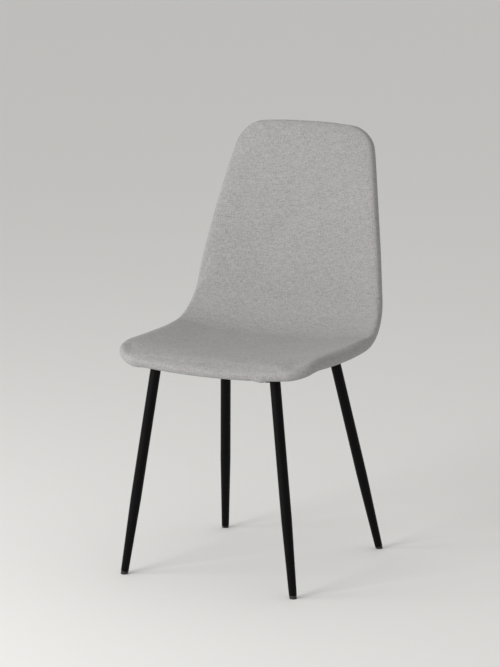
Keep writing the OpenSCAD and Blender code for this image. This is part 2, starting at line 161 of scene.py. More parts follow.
class Recipe(Graph):
    """A Geometry Nodes tree in the making, with named inputs and one named result."""

    def __init__(self, name: str, inputs: dict[str, str], result: str) -> None:
        """Start a tree.

        Args:
            name: The tree's name.
            inputs: Each input's name and its kind of socket.
            result: The name of the geometry that it gives.
        """
        super().__init__(bpy.data.node_groups.new(name, "GeometryNodeTree"))
        sockets = self.tree.interface
        for title, kind in inputs.items():
            sockets.new_socket(title, in_out="INPUT", socket_type=f"NodeSocket{kind}")
        sockets.new_socket(result, in_out="OUTPUT", socket_type="NodeSocketGeometry")
        self.given = self.tree.nodes.new("NodeGroupInput").outputs

    def finish(
        self, geometry: bpy.types.NodeSocket, material: bpy.types.NodeSocket
    ) -> bpy.types.GeometryNodeTree:
        """Realise the instances, set the material and give the result out.

        Args:
            geometry: What the nodes have made.
            material: The tree's material input.

        Returns:
            The complete tree.
        """
        real = self.add("GeometryNodeRealizeInstances", {"Geometry": geometry}, "Geometry")
        done = self.add("GeometryNodeSetMaterial", {"Geometry": real, "Material": material}, "Geometry")
        self.fill(self.tree.nodes.new("NodeGroupOutput"), {0: done})
        return self.tree


def mesh_object(name: str, mesh: bpy.types.Mesh) -> bpy.types.Object:
    """Put a mesh into the scene as a smooth-shaded object at the origin."""
    mesh.shade_smooth()
    made = bpy.data.objects.new(name, mesh)
    bpy.context.scene.collection.objects.link(made)
    return made


def new_mesh(name: str, points: np.ndarray, faces: list, edges: list | None = None) -> bpy.types.Mesh:
    """Make a mesh from points and faces.

    Args:
        name: The mesh's name.
        points: One row of three coordinates for each vertex.
        faces: Vertex indices of each face.
        edges: Vertex indices of each loose edge.

    Returns:
        The new mesh.
    """
    mesh = bpy.data.meshes.new(name)
    mesh.from_pydata(np.asarray(points, float).tolist(), edges or [], faces)
    mesh.update()
    return mesh


def vertex_rows(mesh: bpy.types.Mesh, what: str = "co") -> np.ndarray:
    """Give the mesh's vertex places ("co") or normals ("normal") as rows of three."""
    flat = np.empty(len(mesh.vertices) * 3)
    mesh.vertices.foreach_get(what, flat)
    return flat.reshape(-1, 3)


def move_vertices(mesh: bpy.types.Mesh, points: np.ndarray) -> None:
    """Put the mesh's vertices at new places."""
    mesh.vertices.foreach_set("co", points.ravel())
    mesh.update()


def face_corners(mesh: bpy.types.Mesh) -> np.ndarray:
    """Give the vertex at each corner of the mesh's faces."""
    corners = np.empty(len(mesh.loops), int)
    mesh.loops.foreach_get("vertex_index", corners)
    return corners


def store_map(mesh: bpy.types.Mesh, unrolled: np.ndarray) -> None:
    """Store each vertex's place on the flat cloth, in metres, as the mesh's UV map."""
    layer = mesh.uv_layers.new(name="unrolled")
    layer.data.foreach_set("uv", unrolled[face_corners(mesh)].ravel())


def read_map(mesh: bpy.types.Mesh) -> np.ndarray:
    """Read each vertex's place on the flat cloth."""
    flat = np.empty(len(mesh.loops) * 2)
    mesh.uv_layers["unrolled"].data.foreach_get("uv", flat)
    unrolled = np.zeros((len(mesh.vertices), 2))
    unrolled[face_corners(mesh)] = flat.reshape(-1, 2)
    return unrolled


def evaluated_mesh(made: bpy.types.Object) -> bpy.types.Mesh:
    """Turn an object with modifiers into the plain mesh that they give."""
    graph = bpy.context.evaluated_depsgraph_get()
    seen = made.evaluated_get(graph)
    return bpy.data.meshes.new_from_object(seen, preserve_all_data_layers=True, depsgraph=graph)


def apply_modifiers(made: bpy.types.Object) -> None:
    """Replace an object's mesh with what its modifiers give, and remove them."""
    mesh = evaluated_mesh(made)
    made.modifiers.clear()
    made.data = mesh


def mark_sharp(mesh: bpy.types.Mesh, angle: float) -> None:
    """Shade a mesh smooth, apart from edges that turn by more than an angle in radians."""
    shape = bmesh.new()
    shape.from_mesh(mesh)
    for edge in shape.edges:
        edge.smooth = len(edge.link_faces) == 2 and edge.calc_face_angle(0) < angle
    shape.to_mesh(mesh)
    shape.free()


def soften_edges(made: bpy.types.Object, title: str, width: float, angle: float) -> None:
    """Bevel the edges of an object that turn by more than an angle.

    Args:
        made: The object.
        title: The modifier's name.
        width: The bevel's width, in metres.
        angle: The least angle, in degrees.
    """
    edge = made.modifiers.new(title, "BEVEL")
    edge.width, edge.segments, edge.limit_method = width, 2, "ANGLE"
    edge.angle_limit = math.radians(angle)


def loop_steps(points: np.ndarray) -> np.ndarray:
    """Length of each step round a closed loop of points."""
    return np.linalg.norm(np.diff(points, axis=0, append=points[:1]), axis=1)


def run_group(made: bpy.types.Object, group: bpy.types.GeometryNodeTree, values: dict) -> bpy.types.Object:
    """Run a Geometry Nodes tree on an object and keep what it makes as a plain mesh.

    Args:
        made: The object that gives the tree its points or path.
        group: The tree.
        values: Input name to value.

    Returns:
        The same object.
    """
    nodes = made.modifiers.new(group.name, "NODES")
    nodes.node_group = group
    for socket in group.interface.items_tree:
        if socket.in_out == "INPUT" and socket.name in values:
            nodes[socket.identifier] = values[socket.name]
    apply_modifiers(made)
    made.data.shade_smooth()
    return made


# ---- Finishes -----------------------------------------------------------------------------------


class Surface(Graph):
    """A material in the making: its nodes and its shader."""

    def __init__(self, name: str) -> None:
        """Start a material that has nothing but its shader.

        Args:
            name: The material's name.
        """
        self.material = bpy.data.materials.new(name)
        self.material.use_nodes = True
        super().__init__(self.material.node_tree)
        self.shader = self.tree.nodes["Principled BSDF"]

    def dress(
        self, share: bpy.types.NodeSocket, colours: tuple[str, str], rough: dict | None, **relief
    ) -> dict[str, bpy.types.NodeSocket]:
        """Let one pattern blend two colours and vary the roughness, and another raise the surface.

        Args:
            share: The pattern that blends, from 0 to 1.
            colours: The colours at 0 and at 1.
            rough: Ranges that turn the pattern into a roughness, if it varies.
            relief: Height, Strength and Distance of the raised pattern, if there is one.

        Returns:
            Shader input to what drives it.
        """
        low, high = (linear(colour) for colour in colours)
        tint = {"Factor": share, 6: low, 7: high}
        driven = {"Base Color": self.add("ShaderNodeMix", tint, 2, data_type="RGBA")}
        if rough:
            driven["Roughness"] = self.add("ShaderNodeMapRange", {"Value": share, **rough}, "Result")
        if relief:
            driven["Normal"] = self.add("ShaderNodeBump", relief, "Normal")
        return driven

    def finish(self, inputs: dict) -> bpy.types.Material:
        """Drive or set the shader's own inputs, and give the finished material."""
        self.fill(self.shader, inputs)
        return self.material


@dataclass(frozen=True)
class WovenMelange:
    """Flat-woven polyester upholstery cloth, melange yarn: warm grey, matt, faintly slubby."""

    light: str = "#B0ADAC"
    middle: str = "#9D9B9A"
    dark: str = "#7F7D7E"
    # Real yarns are about 0.5 mm apart; they are drawn coarser so that the weave shows.
    yarn: float = 1.5 * MM
    slub_length: float = 10 * MM
    fleck: float = 2.8 * MM
    fleck_weight: float = 1.1
    patches_per_metre: float = 14.0
    patch_weight: float = 0.12
    weave_weight: float = 0.35
    # Summed patterns that give the darkest and the lightest colour
    tone_range: tuple[float, float] = (1.13, 2.13)

    def build(self, name: str, coordinates: Coordinates) -> bpy.types.Material:
        """Make the cloth's material.

        Args:
            name: The material's name.
            coordinates: What the weave follows.

        Returns:
            The material.
        """
        surface = Surface(name)
        add = surface.add
        place = add("ShaderNodeTexCoord", {}, coordinates.value)
        close, long = 1 / self.yarn, 1 / self.slub_length
        slubs = []
        for shift, scale in ((3.1, (close, long, close)), (7.7, (long, close, long))):
            mapping = {"Vector": place, "Scale": scale, "Location": (shift,) * 3}
            yarns = add("ShaderNodeMapping", mapping, "Vector")
            noise = {"Vector": yarns, "Scale": 1.0, "Detail": 2.0, "Roughness": 0.6}
            slubs.append(add("ShaderNodeTexNoise", noise, "Fac"))
        flecks = {"Vector": place, "Scale": 1 / self.fleck, "Detail": 3.0, "Roughness": 0.65}
        fleck = add("ShaderNodeTexNoise", flecks, "Fac")
        patches = {"Vector": place, "Scale": self.patches_per_metre, "Detail": 2.0}
        patch = add("ShaderNodeTexNoise", patches, "Fac")
        both = add("ShaderNodeMath", {0: slubs[0], 1: slubs[1]}, operation="ADD")
        weigh = {"operation": "MULTIPLY_ADD"}
        mottled = add("ShaderNodeMath", {0: fleck, 1: self.fleck_weight, 2: both}, **weigh)
        tone = add("ShaderNodeMath", {0: patch, 1: self.patch_weight, 2: mottled}, **weigh)
        low, high = self.tone_range
        share = add("ShaderNodeMapRange", {"Value": tone, "From Min": low, "From Max": high}, "Result")
        colour = add("ShaderNodeValToRGB", {"Fac": share}, "Color")
        ramp = colour.node.color_ramp.elements
        ramp[0].color, ramp[1].color = linear(self.dark), linear(self.light)
        ramp.new(0.5).color = linear(self.middle)
        turned = add("ShaderNodeMapping", {"Vector": place, "Scale": (math.pi / self.yarn,) * 3}, "Vector")
        axes = add("ShaderNodeSeparateXYZ", {"Vector": turned}).node.outputs
        waves = [add("ShaderNodeMath", {0: axes[axis]}, operation="SINE") for axis in ("X", "Y")]
        weave = add("ShaderNodeMath", {0: waves[0], 1: waves[1]}, operation="MULTIPLY")
        height = add("ShaderNodeMath", {0: weave, 1: self.weave_weight, 2: mottled}, **weigh)
        raised = {"Strength": 0.55, "Distance": 0.35 * MM, "Height": height}
        rough = {"Value": mottled, "From Min": 1.0, "From Max": 2.1, "To Min": 0.98, "To Max": 0.86}
        return surface.finish(
            {
                "Base Color": colour,
                "Normal": add("ShaderNodeBump", raised, "Normal"),
                "Roughness": add("ShaderNodeMapRange", rough, "Result"),
                "Specular IOR Level": 0.25,
                "Sheen Weight": 0.12,
                "Sheen Roughness": 0.45,
            }
        )


@dataclass(frozen=True)
class PowderCoat:
    """Satin black polyester powder coat on steel tube: near black, with a fine orange peel."""

    colour: str = "#050505"
    dusty: str = "#0A0A0A"
    roughness: float = 0.38
    # Real orange peel is about 0.8 mm across; it is drawn twice as coarse so that it shows.
    peel: float = 1.6 * MM
    clouds_per_metre: float = 22.0

    def build(self, name: str) -> bpy.types.Material:
        """Make the coat's material.

        Args:
            name: The material's name.

        Returns:
            The material.
        """
        surface = Surface(name)
        place = surface.add("ShaderNodeTexCoord", {}, Coordinates.OBJECT.value)
        peels = {"Vector": place, "Scale": 1 / self.peel, "Detail": 1.0}
        peel = surface.add("ShaderNodeTexNoise", peels, "Fac")
        clouds = {"Vector": place, "Scale": self.clouds_per_metre, "Detail": 4.0}
        cloud = surface.add("ShaderNodeTexNoise", clouds, "Fac")
        smooth, dull = self.roughness - 0.04, self.roughness + 0.06
        rough = {"From Min": 0.3, "From Max": 0.7, "To Min": smooth, "To Max": dull}
        driven = surface.dress(
            cloud, (self.colour, self.dusty), rough, Height=peel, Strength=0.25, Distance=0.05 * MM
        )
        return surface.finish({**driven, "Specular IOR Level": 0.08})


@dataclass(frozen=True)
class Polyethylene:
    """Injection-moulded black polyethylene: soft semi-matt, with a fine spark-eroded grain."""

    colour: str = "#141415"
    worn: str = "#232323"
    grain: float = 0.9 * MM
    scuffs_per_metre: float = 90.0

    def build(self, name: str) -> bpy.types.Material:
        """Make the plastic's material.

        Args:
            name: The material's name.

        Returns:
            The material.
        """
        surface = Surface(name)
        place = surface.add("ShaderNodeTexCoord", {}, Coordinates.OBJECT.value)
        grains = {"Vector": place, "Scale": 1 / self.grain, "Detail": 2.0}
        grain = surface.add("ShaderNodeTexNoise", grains, "Fac")
        scuffs = {"Vector": place, "Scale": self.scuffs_per_metre, "Detail": 5.0}
        scuff = surface.add("ShaderNodeTexNoise", scuffs, "Fac")
        rough = {"To Min": 0.42, "To Max": 0.62}
        driven = surface.dress(
            scuff, (self.colour, self.worn), rough, Height=grain, Strength=0.3, Distance=0.05 * MM
        )
        return surface.finish({**driven, "IOR": 1.51})


@dataclass(frozen=True)
class ZincPlate:
    """Bright zinc-plated steel: cool silver metal, cloudy where the plating varies."""

    bright: str = "#C9CCD1"
    cloudy: str = "#A7ABB0"
    cloud: float = 5 * MM

    def build(self, name: str) -> bpy.types.Material:
        """Make the plating's material.

        Args:
            name: The material's name.

        Returns:
            The material.
        """
        surface = Surface(name)
        place = surface.add("ShaderNodeTexCoord", {}, Coordinates.OBJECT.value)
        clouds = {"Vector": place, "Scale": 1 / self.cloud, "Detail": 4.0}
        cloud = surface.add("ShaderNodeTexNoise", clouds, "Fac")
        driven = surface.dress(cloud, (self.bright, self.cloudy), {"To Min": 0.24, "To Max": 0.48})
        return surface.finish({**driven, "Metallic": 1.0})


@dataclass(frozen=True)
class Spunbond:
    """Black spunbond polypropylene under a seat: matt fibres welded at small points."""

    colour: str = "#1A1A1B"
    fibre: str = "#303031"
    # Real weld points are about 1 mm apart; they are drawn at 2 mm so that they show.
    pitch: float = 2 * MM
    fibres_per_metre: float = 700.0
    fibre_weight: float = 0.6

    def build(self, name: str) -> bpy.types.Material:
        """Make the sheet's material.

        Args:
            name: The material's name.

        Returns:
            The material.
        """
        surface = Surface(name)
        place = surface.add("ShaderNodeTexCoord", {}, Coordinates.UNROLLED.value)
        welds = {"Vector": place, "Scale": 1 / self.pitch, "Randomness": 0.25}
        points = surface.add("ShaderNodeTexVoronoi", welds, "Distance")
        strands = {"Vector": place, "Scale": self.fibres_per_metre, "Detail": 4.0, "Distortion": 1.5}
        fibres = surface.add("ShaderNodeTexNoise", strands, "Fac")
        summed = {0: fibres, 1: self.fibre_weight, 2: points}
        height = surface.add("ShaderNodeMath", summed, 0, operation="MULTIPLY_ADD")
        driven = surface.dress(
            height, (self.colour, self.fibre), None, Height=height, Strength=0.6, Distance=0.2 * MM
        )
        return surface.finish({**driven, "Roughness": 0.93, "Specular IOR Level": 0.3})


@dataclass(frozen=True)
class MouldedPly:
    """Moulded beech plywood, unfinished: pale pinkish veneer with short flecks along the grain."""

    pale: str = "#D9BC93"
    dark: str = "#B78F62"
    grain: float = 2.2 * MM
    fleck_length: float = 30 * MM

    def build(self, name: str) -> bpy.types.Material:
        """Make the veneer's material.

        Args:
            name: The material's name.

        Returns:
            The material.
        """
        surface = Surface(name)
        place = surface.add("ShaderNodeTexCoord", {}, Coordinates.OBJECT.value)
        scale = (1 / self.grain, 1 / self.fleck_length, 1 / self.fleck_length)
        stretched = surface.add("ShaderNodeMapping", {"Vector": place, "Scale": scale}, "Vector")
        noise = {"Vector": stretched, "Scale": 1.0, "Detail": 5.0}
        grain = surface.add("ShaderNodeTexNoise", noise, "Fac")
        driven = surface.dress(
            grain, (self.pale, self.dark), None, Height=grain, Strength=0.3, Distance=0.1 * MM
        )
        return surface.finish({**driven, "Roughness": 0.62})


@dataclass(frozen=True)
class PaleFloor:
    """Plain painted studio floor: pale, matt and even."""

    colour: str = "#F0EFED"

    def build(self, name: str) -> bpy.types.Material:
        """Make the floor's material under a name."""
        paint = {"Base Color": linear(self.colour), "Roughness": 0.75, "Specular IOR Level": 0.2}
        return Surface(name).finish(paint)


@dataclass
class Finishes:
    """One material for each real finish on the chair."""

    cloth: bpy.types.Material = field(init=False)
    bias_cloth: bpy.types.Material = field(init=False)
    coat: bpy.types.Material = field(init=False)
    plastic: bpy.types.Material = field(init=False)
    zinc: bpy.types.Material = field(init=False)
    spunbond: bpy.types.Material = field(init=False)
    ply: bpy.types.Material = field(init=False)

    def __post_init__(self) -> None:
        """Build every material once."""
        self.cloth = WovenMelange().build("woven_melange_cloth", Coordinates.UNROLLED)
        self.bias_cloth = WovenMelange().build("woven_melange_cloth_on_piping", Coordinates.OBJECT)
        self.coat = PowderCoat().build("satin_black_powder_coat")
        self.plastic = Polyethylene().build("moulded_black_polyethylene")
        self.zinc = ZincPlate().build("bright_zinc_plate")
        self.spunbond = Spunbond().build("black_spunbond_polypropylene")
        self.ply = MouldedPly().build("moulded_beech_plywood")


# ---- The shell's form -----------------------------------------------------------------------------


@dataclass(frozen=True)
class ShellForm:
    """The shell as a chain of arcs from the front edge to the top edge, with a width and a dish.

    A place on it is (x, s, n): across, along the profile, and off the mid-thickness towards the
    sitter.
    """

    front_y: float
    widths: tuple[float, ...] = (0.418, 0.444, 0.440, 0.408, 0.354, 0.290)
    dishes: tuple[float, ...] = (0.008, 0.020, 0.022, 0.024, 0.016, 0.001)
    dish_power: float = 2.2
    front_edge_z: float = 0.427
    front_slope: float = math.radians(20)
    front_roll_len: float = 0.088
    front_roll_turn: float = math.radians(26)
    seat_len: float = 0.185
    seat_turn: float = math.radians(10.6)
    bend_r: float = 0.119
    bend_turn: float = math.radians(75)
    back_len: float = 0.344
    back_turn: float = math.radians(1.1)
    front_corner_r: float = 0.042
    top_corner_r: float = 0.045
    front_bow: float = 0.012
    top_bow: float = 0.009
    thickness: float = 0.028

    @property
    def arcs(self) -> tuple[tuple[float, float], ...]:
        """Length and turn of each arc of the profile."""
        return (
            (self.front_roll_len, -self.front_roll_turn),
            (self.seat_len, self.seat_turn),
            (self.bend_r * self.bend_turn, self.bend_turn),
            (self.back_len, -self.back_turn),
        )

    @property
    def length(self) -> float:
        """Length of the whole profile."""
        return sum(length for length, _ in self.arcs)

    @property
    def edge_r(self) -> float:
        """Radius of the rounded edge."""
        return self.thickness / 2

    def profile(self, s: np.ndarray) -> tuple[np.ndarray, np.ndarray, np.ndarray]:
        """Follow the profile.

        Args:
            s: Distances from the front edge.

        Returns:
            Y, Z and slope at each distance.
        """
        y0, z0, slope0, start = self.front_y, self.front_edge_z, self.front_slope, 0.0
        y, z, slope = (np.zeros_like(s) for _ in range(3))
        for index, (length, turn) in enumerate(self.arcs):
            here = (s >= start) | (index == 0)
            radius = length / turn
            at = slope0 + (s - start) / radius
            y[here] = (y0 + radius * (np.sin(at) - math.sin(slope0)))[here]
            z[here] = (z0 - radius * (np.cos(at) - math.cos(slope0)))[here]
            slope[here] = at[here]
            y0 += radius * (math.sin(slope0 + turn) - math.sin(slope0))
            z0 -= radius * (math.cos(slope0 + turn) - math.cos(slope0))
            slope0 += turn
            start += length
        return y, z, slope

    def knot_curve(self, knots: tuple[float, ...], s: np.ndarray) -> np.ndarray:
        """Read a smooth curve through knots that are evenly spaced along the profile.

        Args:
            knots: Values from the front edge to the top edge.
            s: Distances from the front edge.

        Returns:
            The curve's value at each distance.
        """
        k = np.array(knots)
        last = len(k) - 1
        place = np.clip(s / self.length, 0, 1) * last
        i = np.minimum(place.astype(int), last - 1)
        f = place - i
        b, d = k[i], k[i + 1]
        a = np.where(i > 0, k[np.maximum(i - 1, 0)], 2 * b - d)
        e = np.where(i < last - 1, k[np.minimum(i + 2, last)], 2 * d - b)
        return b + f / 2 * (d - a + f * (2 * a - 5 * b + 4 * d - e + f * (3 * (b - d) + e - a)))

    def half_width(self, s: np.ndarray) -> np.ndarray:
        """Half the shell's width at each distance along the profile."""
        return self.knot_curve(self.widths, s) / 2

    def points(self, x: np.ndarray, s: np.ndarray, n: np.ndarray | float) -> np.ndarray:
        """Turn places on the shell into points in space.

        Args:
            x: Distances across.
            s: Distances along the profile.
            n: Distances from the mid-thickness towards the sitter.

        Returns:
            One row of three coordinates for each place.
        """
        y, z, slope = self.profile(s)
        share = np.abs(x) / self.half_width(s)
        off = n + self.knot_curve(self.dishes, s) * share**self.dish_power
        return np.stack([x, y - off * np.sin(slope), z + off * np.cos(slope)], axis=1)

    def dense_outline(
        self, s0: float, s1: float, inset: float, r0: float, r1: float, bowed: bool
    ) -> np.ndarray:
        """Draw a closed outline with rounded corners, counter-clockwise as the sitter sees it.

        Args:
            s0: Distance along the profile to its front edge.
            s1: Distance along the profile to its rear edge.
            inset: Distance in from the shell's sides.
            r0: Corner radius at its front edge.
            r1: Corner radius at its rear edge.
            bowed: Whether the front and rear edges bow outwards as the shell's do.

        Returns:
            Rows of (x, s), from the middle of the front edge round to it again.
        """
        turn = np.linspace(0, math.pi / 2, 60, endpoint=False)
        side = np.linspace(s0 + r0, s1 - r1, 400, endpoint=False)

        def edge(s: float, r: float) -> np.ndarray:
            """Places along a straight edge, from its middle to its corner."""
            reach = float(self.half_width(np.array([s]))[0]) - inset - r
            return np.linspace(0, reach, 40, endpoint=False)

        front_s, rear_s = s0 + r0 * (1 - np.cos(turn)), s1 - r1 * (1 - np.sin(turn))
        half = np.concatenate(
            [
                np.stack([edge(s0, r0), np.full(40, s0)], 1),
                np.stack([self.half_width(front_s) - inset - r0 * (1 - np.sin(turn)), front_s], 1),
                np.stack([self.half_width(side) - inset, side], 1),
                np.stack([self.half_width(rear_s) - inset - r1 * (1 - np.cos(turn)), rear_s], 1),
                np.stack([edge(s1, r1)[::-1], np.full(40, s1)], 1),
            ]
        )
        if bowed:
            x, s = half.T
            near_front = np.maximum(0, 1 - (s - s0) / (1.5 * r0))
            near_rear = np.maximum(0, 1 - (s1 - s) / (1.5 * r1))
            front_w, rear_w = self.half_width(np.array([s0, s1]))
            half[:, 1] += self.front_bow * near_front * (x / front_w) ** 2
            half[:, 1] -= self.top_bow * near_rear * (x / rear_w) ** 2
        return np.concatenate([half, half[-2:0:-1] * (-1, 1)])

    def shell_outline(self) -> np.ndarray:
        """The shell's own outline."""
        return self.dense_outline(0, self.length, 0, self.front_corner_r, self.top_corner_r, True)


@dataclass(frozen=True)
class Rim:
    """An outline divided evenly along four sides that meet in the middles of its corners."""

    places: np.ndarray
    inward: np.ndarray
    across: int
    along: int

    @classmethod
    def divide(cls, outline: np.ndarray, across: int, along: int, corners: tuple[float, float]) -> Rim:
        """Divide an outline.

        Args:
            outline: Dense rows of (x, s), from the middle of the front edge.
            across: Divisions of the front and of the rear edge.
            along: Divisions of each side.
            corners: Distance along the outline to the middles of the first two corners.

        Returns:
            The rim, from the front corner on the -X side, counter-clockwise.
        """
        closed = np.concatenate([outline, outline[:1]])
        run = np.concatenate([[0], np.cumsum(loop_steps(outline))])
        total = run[-1]
        c0, c1 = corners
        stops = np.concatenate(
            [
                np.linspace(-c0, c0, across, endpoint=False),
                np.linspace(c0, c1, along, endpoint=False),
                np.linspace(c1, total - c1, across, endpoint=False),
                np.linspace(total - c1, total - c0, along, endpoint=False),
            ]
        ) % total
        step = total / 3000
        here, ahead, behind = (
            np.stack([np.interp((stops + d) % total, run, closed[:, k]) for k in (0, 1)], 1)
            for d in (0, step, -step)
        )
        tangent = ahead - behind
        tangent /= np.linalg.norm(tangent, axis=1, keepdims=True)
        return cls(here, np.stack([-tangent[:, 1], tangent[:, 0]], 1), across, along)

    def inset(self, distance: float) -> np.ndarray:
        """The rim moved in by a distance, as rows of (x, s)."""
        return self.places + distance * self.inward

    def patch(self, ring: np.ndarray) -> np.ndarray:
        """Fill a ring with an even grid.

        Args:
            ring: Rows of (x, s) round the rim.

        Returns:
            Grid places with shape (across + 1, along + 1, 2).
        """
        a, b = self.across, self.along
        front, side = ring[: a + 1], ring[a : a + b + 1]
        rear = ring[a + b : 2 * a + b + 1][::-1]
        other = np.concatenate([ring[2 * a + b :], ring[:1]])[::-1]
        u = np.linspace(0, 1, a + 1)[:, None, None]
        v = np.linspace(0, 1, b + 1)[None, :, None]
        return (
            (1 - v) * front[:, None]
            + v * rear[:, None]
            + (1 - u) * other[None]
            + u * side[None]
            - (1 - u) * (1 - v) * ring[0]
            - u * (1 - v) * ring[a]
            - u * v * ring[a + b]
            - (1 - u) * v * ring[2 * a + b]
        )

    def nest(self, insets: tuple[float, ...]) -> tuple[np.ndarray, np.ndarray]:
        """Nest rings inside the rim and fill the last one.

        Args:
            insets: Each ring's distance in from the rim, the outermost first.

        Returns:
            Rows of (x, s) on the rings, and on the grid inside the last ring.
        """
        rings = [self.inset(inset) for inset in insets]
        inner = self.patch(rings[-1])[1:-1, 1:-1].transpose(1, 0, 2).reshape(-1, 2)
        return np.concatenate(rings), inner

    def grid_faces(self, rings: int) -> list[tuple[int, int, int, int]]:
        """List the faces of nested rings filled with a grid.

        Args:
            rings: How many rings there are, the outermost first; the grid's edge is the last.

        Returns:
            Vertex indices of each face, seen counter-clockwise by the sitter.
        """
        a, b = self.across, self.along
        m = 2 * (a + b)
        edge = (rings - 1) * m

        def at(i: int, j: int) -> int:
            """Index of a grid vertex."""
            if j == 0:
                return edge + i
            if i == a:
                return edge + a + j
            if j == b:
                return edge + a + b + (a - i)
            if i == 0:
                return edge + (2 * a + b + (b - j)) % m
            return edge + m + (j - 1) * (a - 1) + i - 1

        walls = [
            ((r + 1) * m + i, r * m + i, r * m + (i + 1) % m, (r + 1) * m + (i + 1) % m)
            for r in range(rings - 1)
            for i in range(m)
        ]
        grid = [
            (at(i, j), at(i + 1, j), at(i + 1, j + 1), at(i, j + 1)) for j in range(b) for i in range(a)
        ]
        return walls + grid


def corner_runs(outline: np.ndarray, r0: float, r1: float) -> tuple[float, float]:
    """Find the middles of an outline's corners on its first half.

    Args:
        outline: Dense rows of (x, s), from the middle of the front edge.
        r0: Corner radius at the front edge.
        r1: Corner radius at the rear edge.

    Returns:
        Distances along the outline to the front and to the rear corner.
    """
    half = outline[: len(outline) // 2 + 1]
    run = np.concatenate([[0], np.cumsum(np.linalg.norm(np.diff(half, axis=0), axis=1))])
    drop = 1 - math.sqrt(0.5)
    low, high = half[0, 1] + r0 * drop, half[-1, 1] - r1 * drop
    outer = half[:, 0] > 0.5 * half[:, 0].max()
    first = np.argmax(outer & (half[:, 1] >= low))
    second = len(half) - 1 - np.argmax((outer & (half[:, 1] <= high))[::-1])
    return float(run[first]), float(run[second])


# ---- Upholstery -------------------------------------------------------------------------------------


